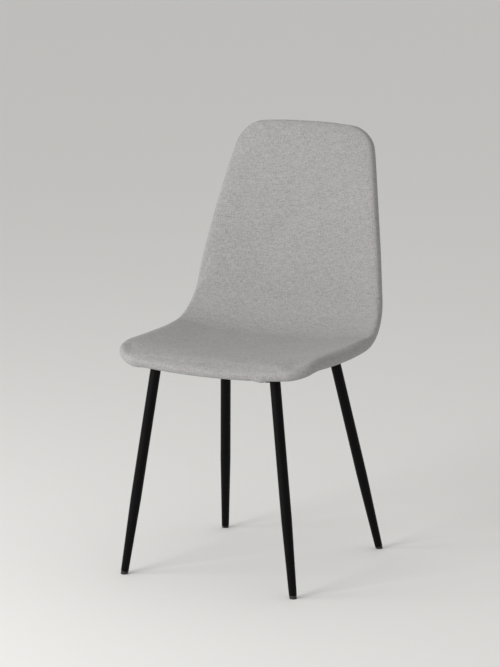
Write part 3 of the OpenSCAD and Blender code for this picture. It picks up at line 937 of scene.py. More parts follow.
@dataclass
class Upholstery:
    """The front and rear covers with their foam, swelled by a cloth simulation."""

    form: ShellForm
    cloth: bpy.types.Material
    across: int = 72
    along: int = 120
    seam_turn: float = math.radians(-64)
    seam_half_turn: float = math.radians(5.6)
    # The edge's section is a little boxier than round: a superellipse of this power
    section_power: float = 2.25
    held_turn: float = math.radians(20)
    tuck: float = 1.1 * MM
    flat_inset: float = 22 * MM
    # Inner walls of the two pads, as (inset, height), from the seam round the plywood's edge
    front_wall: tuple[tuple[float, float], ...] = (
        (6.6 * MM, -9.8 * MM),
        (8.7 * MM, -8.2 * MM),
        (8.7 * MM, 2.1 * MM),
    )
    rear_wall: tuple[tuple[float, float], ...] = ((9.0 * MM, -10.4 * MM), (9.3 * MM, -7.5 * MM))
    sink: float = 2.2 * MM
    swell_cap: float = 3.4 * MM
    pressure: float = 0.9
    swell_frames: int = 20
    stretch_stiffness: float = 30.0
    shear_stiffness: float = 15.0
    bending_stiffness: float = 2.0
    pucker: float = 0.16 * MM
    pucker_reach: float = 11 * MM
    # Wave lengths along the seam, in mm
    pucker_lengths: tuple[int, ...] = (9, 12, 15, 19, 24)
    undulation: float = 0.28 * MM
    undulations: int = 9
    undulation_lengths: tuple[float, float] = (0.05, 0.16)
    # Where the inner walls close up: distances from the front edge and from the top corners
    spine_ends: tuple[float, float] = (0.118, 0.05)
    # Gathers under the front edge: place (x, s, n), radius across, radius around, height
    gathers: tuple[tuple[float, ...], ...] = (
        (-0.165, 0.0085, -0.0085, 0.020, 0.011, 3.4 * MM),
        (0.116, 0.0075, -0.0112, 0.011, 0.009, 3.4 * MM),
    )

    def __post_init__(self) -> None:
        """Divide the shell's outline, at the sewn grid's spacing and at half of it."""
        outline = self.form.shell_outline()
        runs = corner_runs(outline, self.form.front_corner_r, self.form.top_corner_r)
        self.rim = Rim.divide(outline, self.across, self.along, runs)
        self.fine_rim = Rim.divide(outline, 2 * self.across, 2 * self.along, runs)

    def section(self, turn: float, depth: float = 0.0) -> tuple[float, float]:
        """Find a place on the rounded edge's section.

        Args:
            turn: Angle up from the middle of the edge.
            depth: Distance in from the finished edge.

        Returns:
            Inset and height off the mid-thickness.
        """
        r = self.form.edge_r
        parts = (math.cos(turn), math.sin(turn))
        out, up = ((r - depth) * abs(part) ** (2 / self.section_power) for part in parts)
        return r - out, math.copysign(up, turn)

    def turns(self, layer: Layer) -> tuple[np.ndarray, float]:
        """List the angles of a cover's rings round the edge.

        Args:
            layer: Which cover.

        Returns:
            The angles from the seam to the face, and the angle up to which the edge holds the cover.
        """
        first = self.seam_turn + layer.value * self.seam_half_turn
        if layer is Layer.FRONT:
            return np.linspace(first, math.pi / 2, 15), self.held_turn
        return np.linspace(first, -math.pi / 2, 4), first

    def held_rings(self, layer: Layer) -> int:
        """How many rings of a cover, from the seam inwards, the edge holds."""
        turns, held = self.turns(layer)
        return 1 + int((layer.value * turns <= layer.value * held).sum())

    def rings(self, layer: Layer) -> list[tuple[float, float, float]]:
        """List a cover's rings from the seam inwards.

        Args:
            layer: Which cover.

        Returns:
            Inset, height off the mid-thickness and unrolled inset of each ring.
        """
        r, side = self.form.edge_r, layer.value
        turns, held = self.turns(layer)
        places = [self.section(turn) for turn in turns]
        steps = [math.dist(a, b) for a, b in zip(places, places[1:])]
        found = []
        for index, (turn, (inset, n)) in enumerate(zip(turns, places)):
            share = min(max((turn - held) / (turns[-1] - held), 0.0), 1.0)
            found.append((inset, n - side * share * self.sink, r - sum(steps[index:])))
        tucked = self.section(turns[0], self.tuck)
        found.insert(0, (*tucked, found[0][2] - self.tuck))
        for inset in (0.5 * (r + self.flat_inset), self.flat_inset):
            found.append((inset, side * (r - self.sink), inset))
        return found

    def skin(self, name: str, layer: Layer) -> bpy.types.Object:
        """Build a cover as an open sheet with its unrolled map.

        Args:
            name: The object's name.
            layer: Which cover.

        Returns:
            The sheet, its normals away from the plywood.
        """
        rings = self.rings(layer)
        insets, levels, flats = zip(*rings)
        nested, inner = self.rim.nest(insets)
        places = np.concatenate([nested, inner])
        around = np.repeat(levels, len(self.rim.places))
        heights = np.concatenate([around, np.full(len(inner), levels[-1])])
        unrolled = np.concatenate([*(self.rim.inset(flat) for flat in flats), inner])
        faces = self.rim.grid_faces(len(rings))
        if layer is Layer.REAR:
            faces = [face[::-1] for face in faces]
        mesh = new_mesh(name, self.form.points(places[:, 0], places[:, 1], heights), faces)
        store_map(mesh, unrolled)
        return mesh_object(name, mesh)

    def swell(self, sheet: bpy.types.Object, held_count: int) -> float:
        """Swell a sheet that is sewn down along its seam, with a cloth simulation.

        Args:
            sheet: The open sheet.
            held_count: How many vertices the edge holds, from the first.

        Returns:
            How far the cloth moved at most, in metres.
        """
        rest = vertex_rows(sheet.data)
        held = sheet.vertex_groups.new(name="seam")
        held.add(list(range(held_count)), 1.0, "REPLACE")
        cloth = sheet.modifiers.new("swell", "CLOTH")
        fabric = cloth.settings
        fabric.quality, fabric.mass = 5, 0.3
        fabric.tension_stiffness = fabric.compression_stiffness = self.stretch_stiffness
        fabric.shear_stiffness = self.shear_stiffness
        fabric.bending_stiffness = self.bending_stiffness
        fabric.use_pressure = True
        fabric.uniform_pressure_force = self.pressure
        fabric.vertex_group_mass = held.name
        fabric.effector_weights.gravity = 0
        cloth.point_cache.frame_start = 1
        cloth.point_cache.frame_end = self.swell_frames
        for frame_number in range(1, self.swell_frames + 1):
            bpy.context.scene.frame_set(frame_number)
        moved = vertex_rows(evaluated_mesh(sheet)) - rest
        bpy.context.scene.frame_set(1)
        sheet.modifiers.clear()
        sheet.vertex_groups.clear()
        reach = np.linalg.norm(moved, axis=1, keepdims=True)
        capped = moved * np.tanh(reach / self.swell_cap) * self.swell_cap / np.maximum(reach, 1e-9)
        move_vertices(sheet.data, rest + capped)
        return float(reach.max())

    def crease(self, sheet: bpy.types.Object, layer: Layer) -> None:
        """Add the puckers along the seam, the gathers and the cloth's slight unevenness.

        Args:
            sheet: The subdivided sheet.
            layer: Which cover.
        """
        mesh = sheet.data
        points, unrolled = vertex_rows(mesh), read_map(mesh)
        normals = vertex_rows(mesh, "normal")
        seam_inset, seam_n = self.section(self.seam_turn)
        seam = self.fine_rim.inset(seam_inset)
        seam_points = self.form.points(seam[:, 0], seam[:, 1], seam_n)
        tree = KDTree(len(seam_points))
        for index, point in enumerate(seam_points):
            tree.insert(point, index)
        tree.balance()
        nearest = [tree.find(point)[1:] for point in points]
        index, distance = (np.array(values) for values in zip(*nearest))
        steps = loop_steps(seam_points)
        run = np.concatenate([[0], np.cumsum(steps)[:-1]])[index]
        total = steps.sum()
        draw = np.random.default_rng(11 + layer.value)
        waves = np.zeros(len(points))
        for length in self.pucker_lengths:
            count = round(total / (length * MM))
            waves += np.sin(2 * math.pi * count * run / total + draw.uniform(0, 2 * math.pi)) / 2.2
        patchy = 0.6 + 0.4 * np.sin(2 * math.pi * 7 * run / total + draw.uniform(0, 6))
        corner = np.clip(self.corner_share(index), 0, 1)
        lift = self.pucker * waves * patchy * (1 + 0.6 * corner) * np.exp(-distance / self.pucker_reach)
        lift *= np.clip(distance / (3 * MM), 0, 1)
        for _ in range(self.undulations):
            turn, wide = draw.uniform(0, math.pi), draw.uniform(*self.undulation_lengths)
            phase = 2 * math.pi * (unrolled @ (math.cos(turn), math.sin(turn))) / wide
            fade = np.clip(distance / 0.03, 0, 1)
            lift += self.undulation / 3 * np.sin(phase + draw.uniform(0, 6)) * fade
        for x, s, n, wide, deep, height in self.gathers:
            off = points - self.form.points(np.array([x]), np.array([s]), n)
            square = (off[:, 0] / wide) ** 2 + (off[:, 1] ** 2 + off[:, 2] ** 2) / deep**2
            below = np.clip(0.4 - 2 * normals[:, 2], 0, 1)
            lift += height * np.exp(-square) * below * np.clip(distance / (2 * MM), 0, 1)
        move_vertices(mesh, points + lift[:, None] * normals)

    def corner_share(self, index: np.ndarray) -> np.ndarray:
        """Share, from 0 to 1, by which each place of the fine rim lies in a corner."""
        turned = self.fine_rim.inward
        bend = np.linalg.norm(np.roll(turned, -3, axis=0) - np.roll(turned, 3, axis=0), axis=1)
        return (bend / bend.max())[index]

    def close(self, sheet: bpy.types.Object, layer: Layer) -> None:
        """Close a cover round its foam, so that the pad is one solid.

        Args:
            sheet: The finished cover, an open sheet.
            layer: Which cover.
        """
        mesh = sheet.data
        unrolled = read_map(mesh)
        faces = [tuple(face.vertices) for face in mesh.polygons]
        directed = {(f[i], f[(i + 1) % len(f)]) for f in faces for i in range(len(f))}
        following = {a: b for a, b in directed if (b, a) not in directed}
        start = min(following, key=lambda v: (round(abs(unrolled[v, 0]), 4), unrolled[v, 1]))
        ring = [start]
        while following[ring[-1]] != start:
            ring.append(following[ring[-1]])
        count = len(ring)
        order = (self.across + layer.value * np.arange(count)) % count
        front_end, rear_end = self.spine_ends
        spine = (front_end, self.form.length - self.form.top_corner_r - rear_end)
        wall = self.front_wall if layer is Layer.FRONT else self.rear_wall
        path = [(inset, n, 0.0) for inset, n in wall]
        path += [(self.flat_inset, wall[-1][1], share) for share in np.linspace(0, 0.92, 9)]
        points, maps = [vertex_rows(mesh)], [unrolled]
        rings = [ring]
        for inset, n, share in path:
            place = self.fine_rim.inset(inset)[order]
            target = np.clip(place[:, 1], *spine)
            place[:, 1] += (target - place[:, 1]) * share
            place[:, 0] *= 1 - share
            first = sum(len(p) for p in points)
            points.append(self.form.points(place[:, 0], place[:, 1], n))
            maps.append(place)
            rings.append(list(range(first, first + count)))
        for outer, inner in zip(rings, rings[1:]):
            for i in range(count):
                j = (i + 1) % count
                faces.append((outer[j], outer[i], inner[i], inner[j]))
        last, half = rings[-1], count // 2
        faces.append((last[1], last[0], last[-1]))
        for i in range(1, half - 1):
            faces.append((last[i + 1], last[i], last[count - i], last[count - i - 1]))
        faces.append((last[half + 1], last[half], last[half - 1]))
        closed = new_mesh(sheet.name, np.concatenate(points), faces)
        store_map(closed, np.concatenate(maps))
        closed.shade_smooth()
        sheet.data = closed

    def build(self, name: str, layer: Layer) -> bpy.types.Object:
        """Build one pad: a cover with its foam.

        Args:
            name: The piece's name.
            layer: Which pad.

        Returns:
            The finished pad.
        """
        sheet = self.skin(name, layer)
        held_count = self.held_rings(layer) * len(self.rim.places)
        log.info("%s: cloth moved %.1f mm at most", name, self.swell(sheet, held_count) / MM)
        smooth = sheet.modifiers.new("smooth", "SUBSURF")
        smooth.levels = smooth.render_levels = 1
        apply_modifiers(sheet)
        self.crease(sheet, layer)
        self.close(sheet, layer)
        sheet.data.materials.append(self.cloth)
        return sheet


@dataclass
class SeamPiping:
    """The cloth-covered cord sewn into the seam all round the shell."""

    upholstery: Upholstery
    cloth: bpy.types.Material
    diameter: float = 2.4 * MM
    sides: int = 12

    def tree(self) -> bpy.types.GeometryNodeTree:
        """Make the tree that sweeps a round section along a path.

        Returns:
            The tree, with the cord's radius, its sides and its material as named inputs.
        """
        inputs = {"Path": "Geometry", "Radius": "Float", "Sides": "Int", "Cloth": "Material"}
        recipe = Recipe("piping_sweep", inputs, "Cord")
        given = recipe.given
        curve = recipe.add("GeometryNodeMeshToCurve", {"Mesh": given["Path"]}, "Curve")
        circle = {"Resolution": given["Sides"], "Radius": given["Radius"]}
        section = recipe.add("GeometryNodeCurvePrimitiveCircle", circle, "Curve")
        sweep = {"Curve": curve, "Profile Curve": section}
        return recipe.finish(recipe.add("GeometryNodeCurveToMesh", sweep, "Mesh"), given["Cloth"])

    def build(self, name: str) -> bpy.types.Object:
        """Sweep the piping along the seam.

        Args:
            name: The piece's name.

        Returns:
            The finished cord.
        """
        form, rim = self.upholstery.form, self.upholstery.fine_rim
        inset, n = self.upholstery.section(self.upholstery.seam_turn, self.diameter / 2)
        place = rim.inset(inset)
        points = form.points(place[:, 0], place[:, 1], n)
        count = len(points)
        edges = [(i, (i + 1) % count) for i in range(count)]
        path = mesh_object(name, new_mesh(name, points, [], edges))
        values = {"Radius": self.diameter / 2, "Sides": self.sides, "Cloth": self.cloth}
        return run_group(path, self.tree(), values)


# ---- Dust cover ---------------------------------------------------------------------------------------


@dataclass
class DustCover:
    """The black sheet stapled under the seat, and its staples."""

    form: ShellForm
    spunbond: bpy.types.Material
    zinc: bpy.types.Material
    front: float = 30 * MM
    length: float = 268 * MM
    inset: float = 36 * MM
    corner_r: float = 34 * MM
    thickness: float = 0.5 * MM
    gap: float = 0.4 * MM
    hem: float = 11 * MM
    across: int = 76
    along: int = 60
    staple_inset: float = 6 * MM
    staple_pitch: float = 26 * MM
    crown: float = 10 * MM
    wire: float = 0.45 * MM
    # Where a staple's wire bends down, as a share of half its crown, and how far its ends go in
    knee: float = 0.78
    bite: float = 1.2 * MM
    # How far each ring hangs at the staples and how much lower between them, in mm
    slack: tuple[tuple[float, float], ...] = ((0.0, 0.5), (0.0, 0.35), (0.45, 0.5), (0.15, 0.3))

    def __post_init__(self) -> None:
        """Divide the sheet's outline."""
        rear = self.front + self.length
        radii = (self.corner_r, self.corner_r)
        outline = self.form.dense_outline(self.front, rear, self.inset, *radii, False)
        runs = corner_runs(outline, *radii)
        self.rim = Rim.divide(outline, self.across, self.along, runs)

    @property
    def flat_size(self) -> tuple[float, float]:
        """The sheet's width and length before it was stapled on."""
        return float(np.ptp(self.rim.places[:, 0])), self.length

    def staple_count(self) -> int:
        """How many staples hold the sheet."""
        return round(float(loop_steps(self.rim.places).sum()) / self.staple_pitch)

    def build_sheet(self, name: str) -> bpy.types.Object:
        """Build the sheet, pulled up at its staples and slack between them.

        Args:
            name: The piece's name.

        Returns:
            The finished sheet.
        """
        insets = (0.0, 0.5 * self.hem, self.hem, 1.6 * self.hem)
        m = len(self.rim.places)
        nested, inner = self.rim.nest(insets)
        places = np.concatenate([nested, inner])
        swing = np.abs(np.sin(np.pi * self.staple_count() * np.arange(m) / m))
        slack = [low * MM + high * MM * swing for low, high in self.slack]
        drop = np.concatenate([*slack, np.full(len(inner), self.slack[-1][0] * MM)])
        n = -self.form.edge_r - self.gap - drop
        faces = [face[::-1] for face in self.rim.grid_faces(len(insets))]
        mesh = new_mesh(name, self.form.points(places[:, 0], places[:, 1], n), faces)
        store_map(mesh, places)
        made = mesh_object(name, mesh)
        made.data.materials.append(self.spunbond)
        wall = made.modifiers.new("wall", "SOLIDIFY")
        wall.thickness, wall.offset = self.thickness, 0
        return made

    def staple_tree(self) -> bpy.types.GeometryNodeTree:
        """Make the tree that sets one bent staple on each point.

        Returns:
            The tree, with the staple's crown, wire and material as named inputs.
        """
        inputs = {"Points": "Geometry", "Crown": "Float", "Wire radius": "Float", "Plating": "Material"}
        recipe = Recipe("staple_row", inputs, "Staples")
        add, given = recipe.add, recipe.given
        half, minus = (
            add("ShaderNodeMath", {0: given["Crown"], 1: share}, operation="MULTIPLY")
            for share in (0.5, -0.5)
        )
        ends = [add("ShaderNodeCombineXYZ", {"X": x}, "Vector") for x in (minus, half)]
        line = add("GeometryNodeCurvePrimitiveLine", {"Start": ends[0], "End": ends[1]}, "Curve")
        fine = add("GeometryNodeResampleCurve", {"Curve": line, "Count": 13}, "Curve")
        place = add("GeometryNodeInputPosition", {}, "Position")
        across = add("ShaderNodeSeparateXYZ", {"Vector": place}, "X")
        away = add("ShaderNodeMath", {0: across}, operation="ABSOLUTE")
        knee = add("ShaderNodeMath", {0: half, 1: self.knee}, operation="MULTIPLY")
        span = {"Value": away, "From Min": knee, "From Max": half, "To Min": 0.0, "To Max": self.bite}
        bend = add("ShaderNodeMapRange", span, "Result")
        down = add("ShaderNodeMath", {0: bend, 1: -1.0}, operation="MULTIPLY")
        offset = add("ShaderNodeCombineXYZ", {"Z": down}, "Vector")
        bent = add("GeometryNodeSetPosition", {"Geometry": fine, "Offset": offset}, "Geometry")
        circle = {"Resolution": 8, "Radius": given["Wire radius"]}
        section = add("GeometryNodeCurvePrimitiveCircle", circle, "Curve")
        sweep = {"Curve": bent, "Profile Curve": section, "Fill Caps": True}
        staple = add("GeometryNodeCurveToMesh", sweep, "Mesh")
        turn = None
        for axis, name in (("X", "along"), ("Z", "out")):
            named = {"data_type": "FLOAT_VECTOR"}
            facing = add("GeometryNodeInputNamedAttribute", {"Name": name}, "Attribute", **named)
            turned = {"Vector": facing} if turn is None else {"Vector": facing, "Rotation": turn}
            pivot = "AUTO" if turn is None else "X"
            turn = add("FunctionNodeAlignRotationToVector", turned, "Rotation", axis=axis, pivot_axis=pivot)
        rows = {"Points": given["Points"], "Instance": staple, "Rotation": turn}
        laid = add("GeometryNodeInstanceOnPoints", rows, "Instances")
        return recipe.finish(laid, given["Plating"])

    def build_staples(self, name: str) -> bpy.types.Object:
        """Set the staples round the sheet, each along its edge.

        Args:
            name: The piece's name.

        Returns:
            The staples as one piece.
        """
        count, m = self.staple_count(), len(self.rim.places)
        place = self.rim.inset(self.staple_inset)
        n = -self.form.edge_r - self.gap - 0.5 * self.thickness - self.wire
        index = np.round(np.arange(count) * m / count).astype(int) % m
        low, here, high = (
            self.form.points(*np.roll(place, step, 0).T, n) for step in (1, 0, -1)
        )
        along = (high - low)[index]
        deeper = self.form.points(place[:, 0], place[:, 1], n - MM)
        out = (deeper - here)[index]
        mesh = new_mesh(name, here[index], [])
        for title, rows in (("along", along), ("out", out)):
            rows = rows / np.linalg.norm(rows, axis=1, keepdims=True)
            mesh.attributes.new(title, "FLOAT_VECTOR", "POINT").data.foreach_set("vector", rows.ravel())
        values = {"Crown": self.crown, "Wire radius": self.wire, "Plating": self.zinc}
        return run_group(mesh_object(name, mesh), self.staple_tree(), values)


# ---- Legs and under-frame -----------------------------------------------------------------------------


def leg_axis(mesh: bpy.types.Mesh) -> tuple[Vector, Vector]:
    """Find the line down the middle of a CAD leg.

    Args:
        mesh: The CAD leg's mesh.

    Returns:
        Where the line meets the floor, and where it leaves the tube's top.
    """
    points = np.unique(np.round(vertex_rows(mesh), 6), axis=0)
    middle = points.mean(axis=0)
    line = np.linalg.svd(points - middle, full_matrices=False)[2][0]
    line *= math.copysign(1, line[2])
    foot = middle - line * middle[2] / line[2]
    top = foot + line * ((points - foot) @ line).max()
    return Vector(foot), Vector(top)


@dataclass
class Legs:
    """Four splayed steel tubes, straight at the top and tapered to the foot."""

    coat: bpy.types.Material
    feet: dict[Corner, Vector]
    tops: dict[Corner, Vector]
    top_radius: float = 10.5 * MM
    end_radius: float = 7.7 * MM
    straight: float = 267 * MM
    glide: float = 6 * MM
    sides: int = 64

    def tree(self) -> bpy.types.GeometryNodeTree:
        """Make the tree that draws a tube which narrows towards the floor.

        Returns:
            The tree, with the tube's radii, where its taper begins and ends, its sides and its
            material as named inputs.
        """
        lengths = ("Top radius", "End radius", "Taper top", "Taper end")
        inputs = {"Path": "Geometry", **dict.fromkeys(lengths, "Float"), "Sides": "Int", "Coat": "Material"}
        recipe = Recipe("tapered_tube", inputs, "Tube")
        add, given = recipe.add, recipe.given
        place = add("GeometryNodeInputPosition", {}, "Position")
        taper = {
            "Value": add("ShaderNodeSeparateXYZ", {"Vector": place}, "Z"),
            "From Min": given["Taper end"],
            "From Max": given["Taper top"],
            "To Min": given["End radius"],
            "To Max": given["Top radius"],
        }
        sweep = {
            "Curve": add("GeometryNodeMeshToCurve", {"Mesh": given["Path"]}, "Curve"),
            "Profile Curve": add(
                "GeometryNodeCurvePrimitiveCircle", {"Resolution": given["Sides"], "Radius": 1.0}, "Curve"
            ),
            "Scale": add("ShaderNodeMapRange", taper, "Result"),
            "Fill Caps": True,
        }
        return recipe.finish(add("GeometryNodeCurveToMesh", sweep, "Mesh"), given["Coat"])

    def build(self) -> dict[Corner, bpy.types.Object]:
        """Build the four tubes.

        Returns:
            Corner to its tube.
        """
        group, made = self.tree(), {}
        for corner, foot in self.feet.items():
            top = self.tops[corner]
            line = (top - foot).normalized()
            low, bend = foot + line * self.glide, top - line * self.straight
            rings = [low.lerp(bend, k / 12) for k in range(12)] + [bend.lerp(top, k / 8) for k in range(9)]
            name = f"{corner.value}_leg_tube"
            edges = [(i, i + 1) for i in range(len(rings) - 1)]
            tube = mesh_object(name, new_mesh(name, np.array(rings), [], edges))
            values = {
                "Top radius": self.top_radius,
                "End radius": self.end_radius,
                "Taper top": bend.z,
                "Taper end": low.z,
                "Sides": self.sides,
                "Coat": self.coat,
            }
            run_group(tube, group, values)
            mark_sharp(tube.data, math.radians(40))
            soften_edges(tube, "rolled end", 0.5 * MM, 50)
            made[corner] = tube
        return made


@dataclass
class Hardware:
    """Steel and plastic pieces whose CAD shape is right: merged copies with softened edges."""

    frame: dict

    def build(self, name: str, node: str, finish: bpy.types.Material, softening: float) -> bpy.types.Object:
        """Copy a CAD node's mesh, merge it and soften its edges.

        Args:
            name: The piece's name.
            node: The CAD node.
            finish: The material.
            softening: Width of the softened edges, in metres.

        Returns:
            The finished piece.
        """
        shape = bmesh.new()
        shape.from_mesh(self.frame["nodes"][node].data)
        bmesh.ops.remove_doubles(shape, verts=shape.verts, dist=1e-6)
        flat = math.radians(1)
        bmesh.ops.dissolve_limit(shape, angle_limit=flat, verts=shape.verts, edges=shape.edges)
        mesh = bpy.data.meshes.new(name)
        shape.to_mesh(mesh)
        shape.free()
        mesh.materials.clear()
        mesh.materials.append(finish)
        made = mesh_object(name, mesh)
        mark_sharp(mesh, math.radians(32))
        soften_edges(made, "softened edges", softening, 40)
        return made


@dataclass
class WeldBeads:
    """Rippled weld beads along the lower edges where the rails meet the plates and each other."""

    coat: bpy.types.Material
    ripple: float = 1.3 * MM
    width: float = 1.9 * MM
    flatness: float = 0.55
    # Smallest and largest ripple, as shares of the usual one
    least: float = 0.85
    most: float = 1.1
    # How far a bead stops short of the bar's edges
    margin: float = 2 * MM

    def tree(self) -> bpy.types.GeometryNodeTree:
        """Make the tree that lays overlapping ripples along each line.

        Returns:
            The tree, with the ripple's spacing, width, flatness and material as named inputs.
        """
        lengths = dict.fromkeys(("Spacing", "Width", "Flatness"), "Float")
        recipe = Recipe("weld_ripples", {"Lines": "Geometry", **lengths, "Coat": "Material"}, "Beads")
        add, given = recipe.add, recipe.given
        curve = add("GeometryNodeMeshToCurve", {"Mesh": given["Lines"]}, "Curve")
        spacing = {"Curve": curve, "Length": given["Spacing"]}
        spaced = add("GeometryNodeResampleCurve", spacing, "Curve", mode="LENGTH")
        ball = {"Segments": 8, "Rings": 5, "Radius": given["Width"]}
        lump = add("GeometryNodeMeshUVSphere", ball, "Mesh")
        sizes = {0: (self.least,) * 3, 1: (self.most,) * 3, "Seed": 5}
        size = add("FunctionNodeRandomValue", sizes, data_type="FLOAT_VECTOR")
        squash = add("ShaderNodeCombineXYZ", {"X": 1.0, "Y": 1.0, "Z": given["Flatness"]})
        scale = add("ShaderNodeVectorMath", {0: size, 1: squash}, operation="MULTIPLY")
        beads = {"Points": spaced, "Instance": lump, "Scale": scale}
        laid = add("GeometryNodeInstanceOnPoints", beads, "Instances")
        return recipe.finish(laid, given["Coat"])

    def build(self, name: str) -> bpy.types.Object:
        """Lay the beads along the rails' ends.

        Args:
            name: The piece's name.

        Returns:
            All the beads as one piece.
        """
        lines, margin = [], self.margin
        for node in ("front_rail", "rear_rail"):
            low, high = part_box(node)
            for x in (low.x, high.x):
                lines.append([(x, low.y + margin, low.z), (x, high.y - margin, low.z)])
        for node in ("left_rail", "right_rail"):
            low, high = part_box(node)
            for y in (low.y, high.y):
                lines.append([(low.x + margin, y, low.z), (high.x - margin, y, low.z)])
        points = np.array([p for line in lines for p in line])
        edges = [(2 * i, 2 * i + 1) for i in range(len(lines))]
        path = mesh_object(name, new_mesh(name, points, [], edges))
        values = {"Spacing": self.ripple, "Width": self.width, "Flatness": self.flatness, "Coat": self.coat}
        return run_group(path, self.tree(), values)


# ---- Studio ---------------------------------------------------------------------------------------------


@dataclass
class Studio:
    """A plain pale floor, soft light from the sitter's right, and the camera."""

    camera_place: tuple[float, float, float] = (2.6148, -5.008, 1.5758)
    camera_pitch: float = math.radians(78.89)
    camera_heading: float = math.radians(27.76)
    lens: float = 155.67
    key_place: tuple[float, float, float] = (-1.2, -3.4, 1.6)
    key_size: float = 1.5
    key_watts: float = 63.0
    side_place: tuple[float, float, float] = (-2.6, -2.2, 1.5)
    side_size: float = 1.5
    side_watts: float = 37.0
    target: tuple[float, float, float] = (0.0, 0.0, 0.45)
    world: str = "#E9E9E8"
    world_strength: float = 0.72
    floor_half: float = 40.0

    def build_camera(self) -> None:
        """Place the camera and make it the scene's."""
        data = bpy.data.cameras.new("camera")
        data.lens, data.sensor_width = self.lens, 36.0
        data.clip_end = 200.0
        camera = bpy.data.objects.new("camera", data)
        camera.location = self.camera_place
        camera.rotation_euler = (self.camera_pitch, 0.0, self.camera_heading)
        bpy.context.scene.collection.objects.link(camera)
        bpy.context.scene.camera = camera

    def add_light(self, name: str, place: tuple[float, float, float], size: float, watts: float) -> None:
        """Add a soft square light that faces the chair.

        Args:
            name: The light's name.
            place: Where it stands.
            size: Its side.
            watts: Its power.
        """
        data = bpy.data.lights.new(name, "AREA")
        data.size, data.energy = size, watts
        light = bpy.data.objects.new(name, data)
        light.location = place
        light.rotation_euler = (Vector(self.target) - Vector(place)).to_track_quat("-Z", "Y").to_euler()
        bpy.context.scene.collection.objects.link(light)

    def build(self) -> None:
        """Build the floor, the lights and the pale surroundings."""
        half = self.floor_half
        corners = np.array([(-half, -half, 0), (half, -half, 0), (half, half, 0), (-half, half, 0)])
        floor = mesh_object("studio_floor", new_mesh("studio_floor", corners, [(0, 1, 2, 3)]))
        floor.data.materials.append(PaleFloor().build("pale_studio_floor"))
        self.add_light("key_light", self.key_place, self.key_size, self.key_watts)
        self.add_light("side_light", self.side_place, self.side_size, self.side_watts)
        world = bpy.data.worlds.new("studio")
        world.use_nodes = True
        background = world.node_tree.nodes["Background"]
        background.inputs["Color"].default_value = linear(self.world)
        background.inputs["Strength"].default_value = self.world_strength
        bpy.context.scene.world = world
        bpy.context.scene.view_settings.view_transform = "Standard"


# ---- Making the chair -------------------------------------------------------------------------------------


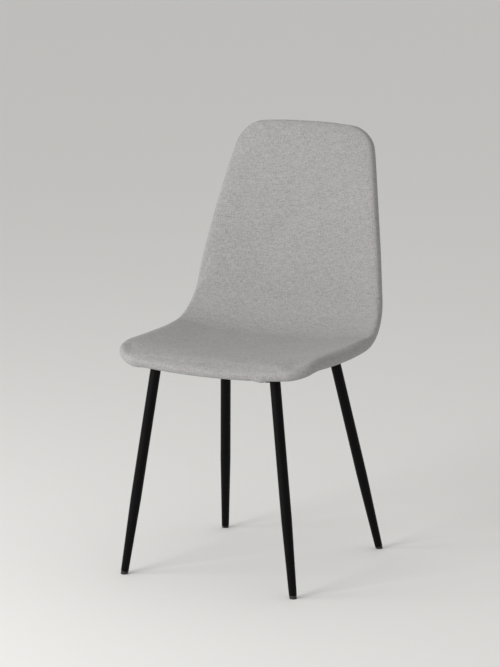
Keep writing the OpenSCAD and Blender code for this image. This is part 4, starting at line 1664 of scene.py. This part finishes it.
@dataclass
class DiningChair:
    """Builds every sub-assembly in order and hands each piece to the frame."""

    frame: dict
    finishes: Finishes
    body: str = field(init=False)

    def __post_init__(self) -> None:
        """Find the chair's one body."""
        self.body = next(iter(self.frame["bodies"]))

    def hand_over(self, piece: bpy.types.Object, slot: str, *nodes: str) -> None:
        """Make a piece ride on the body, and hide the CAD nodes that it replaces.

        Args:
            piece: The finished piece.
            slot: The record's material slot; not used.
            nodes: CAD nodes that it replaces.
        """
        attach(piece, self.body)
        if nodes:
            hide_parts(*nodes)
        log.info("%s: %d faces", piece.name, len(piece.data.polygons))

    def front_y(self) -> float:
        """Find where the profile starts, from the front cover's foremost point."""
        loose = ShellForm(front_y=0.0)
        turn = np.linspace(0, math.pi / 2, 91)
        r = loose.edge_r
        reach = loose.points(np.zeros_like(turn), r * (1 - np.cos(turn)), r * np.sin(turn))[:, 1].min()
        return float(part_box("front_cover")[0].y - reach)

    def build_shell(self) -> None:
        """Build the two pads, the piping, the dust cover and its staples."""
        form = ShellForm(front_y=self.front_y())
        upholstery = Upholstery(form, self.finishes.cloth)
        front = upholstery.build("front_upholstery", Layer.FRONT)
        self.hand_over(front, "woven_fabric", "front_cover", "front_foam")
        rear = upholstery.build("rear_upholstery", Layer.REAR)
        self.hand_over(rear, "woven_fabric", "rear_cover", "rear_foam")
        cord = SeamPiping(upholstery, self.finishes.bias_cloth).build("seam_cord")
        self.hand_over(cord, "woven_fabric", "seam_piping")
        dust = DustCover(form, self.finishes.spunbond, self.finishes.zinc)
        sheet = dust.build_sheet("dust_cover_sheet")
        self.hand_over(sheet, "dust_fabric", "dust_cover")
        staples = dust.build_staples("dust_cover_staple_row")
        self.hand_over(staples, "zinc_steel", "dust_cover_staples")
        dust.flat_size

    def build_legs(self) -> None:
        """Build the four tubes."""
        feet, tops = {}, {}
        for corner in Corner:
            node = self.frame["nodes"][f"{corner.value}_leg"]
            feet[corner], tops[corner] = leg_axis(node.data)
        for corner, tube in Legs(self.finishes.coat, feet, tops).build().items():
            self.hand_over(tube, "black_steel", f"{corner.value}_leg")

    def build_hardware(self) -> None:
        """Build the under-frame, its fasteners and the glides."""
        hardware = Hardware(self.frame)
        coat, zinc, plastic = self.finishes.coat, self.finishes.zinc, self.finishes.plastic
        steel = (coat, "black_steel", 0.6 * MM)
        pieces = [
            ("front_rail", "front_cross_bar", *steel),
            ("rear_rail", "rear_cross_bar", *steel),
            ("left_rail", "left_side_bar", *steel),
            ("right_rail", "right_side_bar", *steel),
            ("mount_nuts", "leg_stud_nuts", zinc, "zinc_steel", 0.35 * MM),
            ("frame_spacers", "spacer_tubes", plastic, "black_plastic", 0.4 * MM),
            ("frame_bolts", "button_head_bolts", zinc, "zinc_steel", 0.35 * MM),
            ("frame_washers", "plain_washers", zinc, "zinc_steel", 0.25 * MM),
        ]
        for corner in Corner:
            place = corner.value
            pieces.append((f"{place}_mount_plate", f"{place}_leg_plate", *steel))
            pieces.append((f"{place}_glide", f"{place}_glide_cap", plastic, "black_plastic", 0.5 * MM))
        for node, name, finish, slot, softening in pieces:
            self.hand_over(hardware.build(name, node, finish, softening), slot, node)
        self.hand_over(WeldBeads(coat).build("weld_beads"), "black_steel")

    def dress_kept_nodes(self) -> None:
        """Give the CAD nodes that stay their procedural finishes."""
        zinc = self.finishes.zinc
        for node, finish in {"seat_shell": self.finishes.ply, "leg_plugs": zinc, "tee_nuts": zinc}.items():
            mesh = self.frame["nodes"][node].data
            mesh.materials.clear()
            mesh.materials.append(finish)
            log.info("%s: kept from the frame", node)


def main() -> None:
    """Load the frame and build the chair around it."""
    logging.basicConfig(level=logging.INFO, format="%(name)s: %(message)s")
    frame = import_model()
    studio = Studio()
    studio.build_camera()
    chair = DiningChair(frame, Finishes())
    chair.build_shell()
    chair.build_legs()
    chair.build_hardware()
    chair.dress_kept_nodes()
    studio.build()


if __name__ == "__main__":
    main()
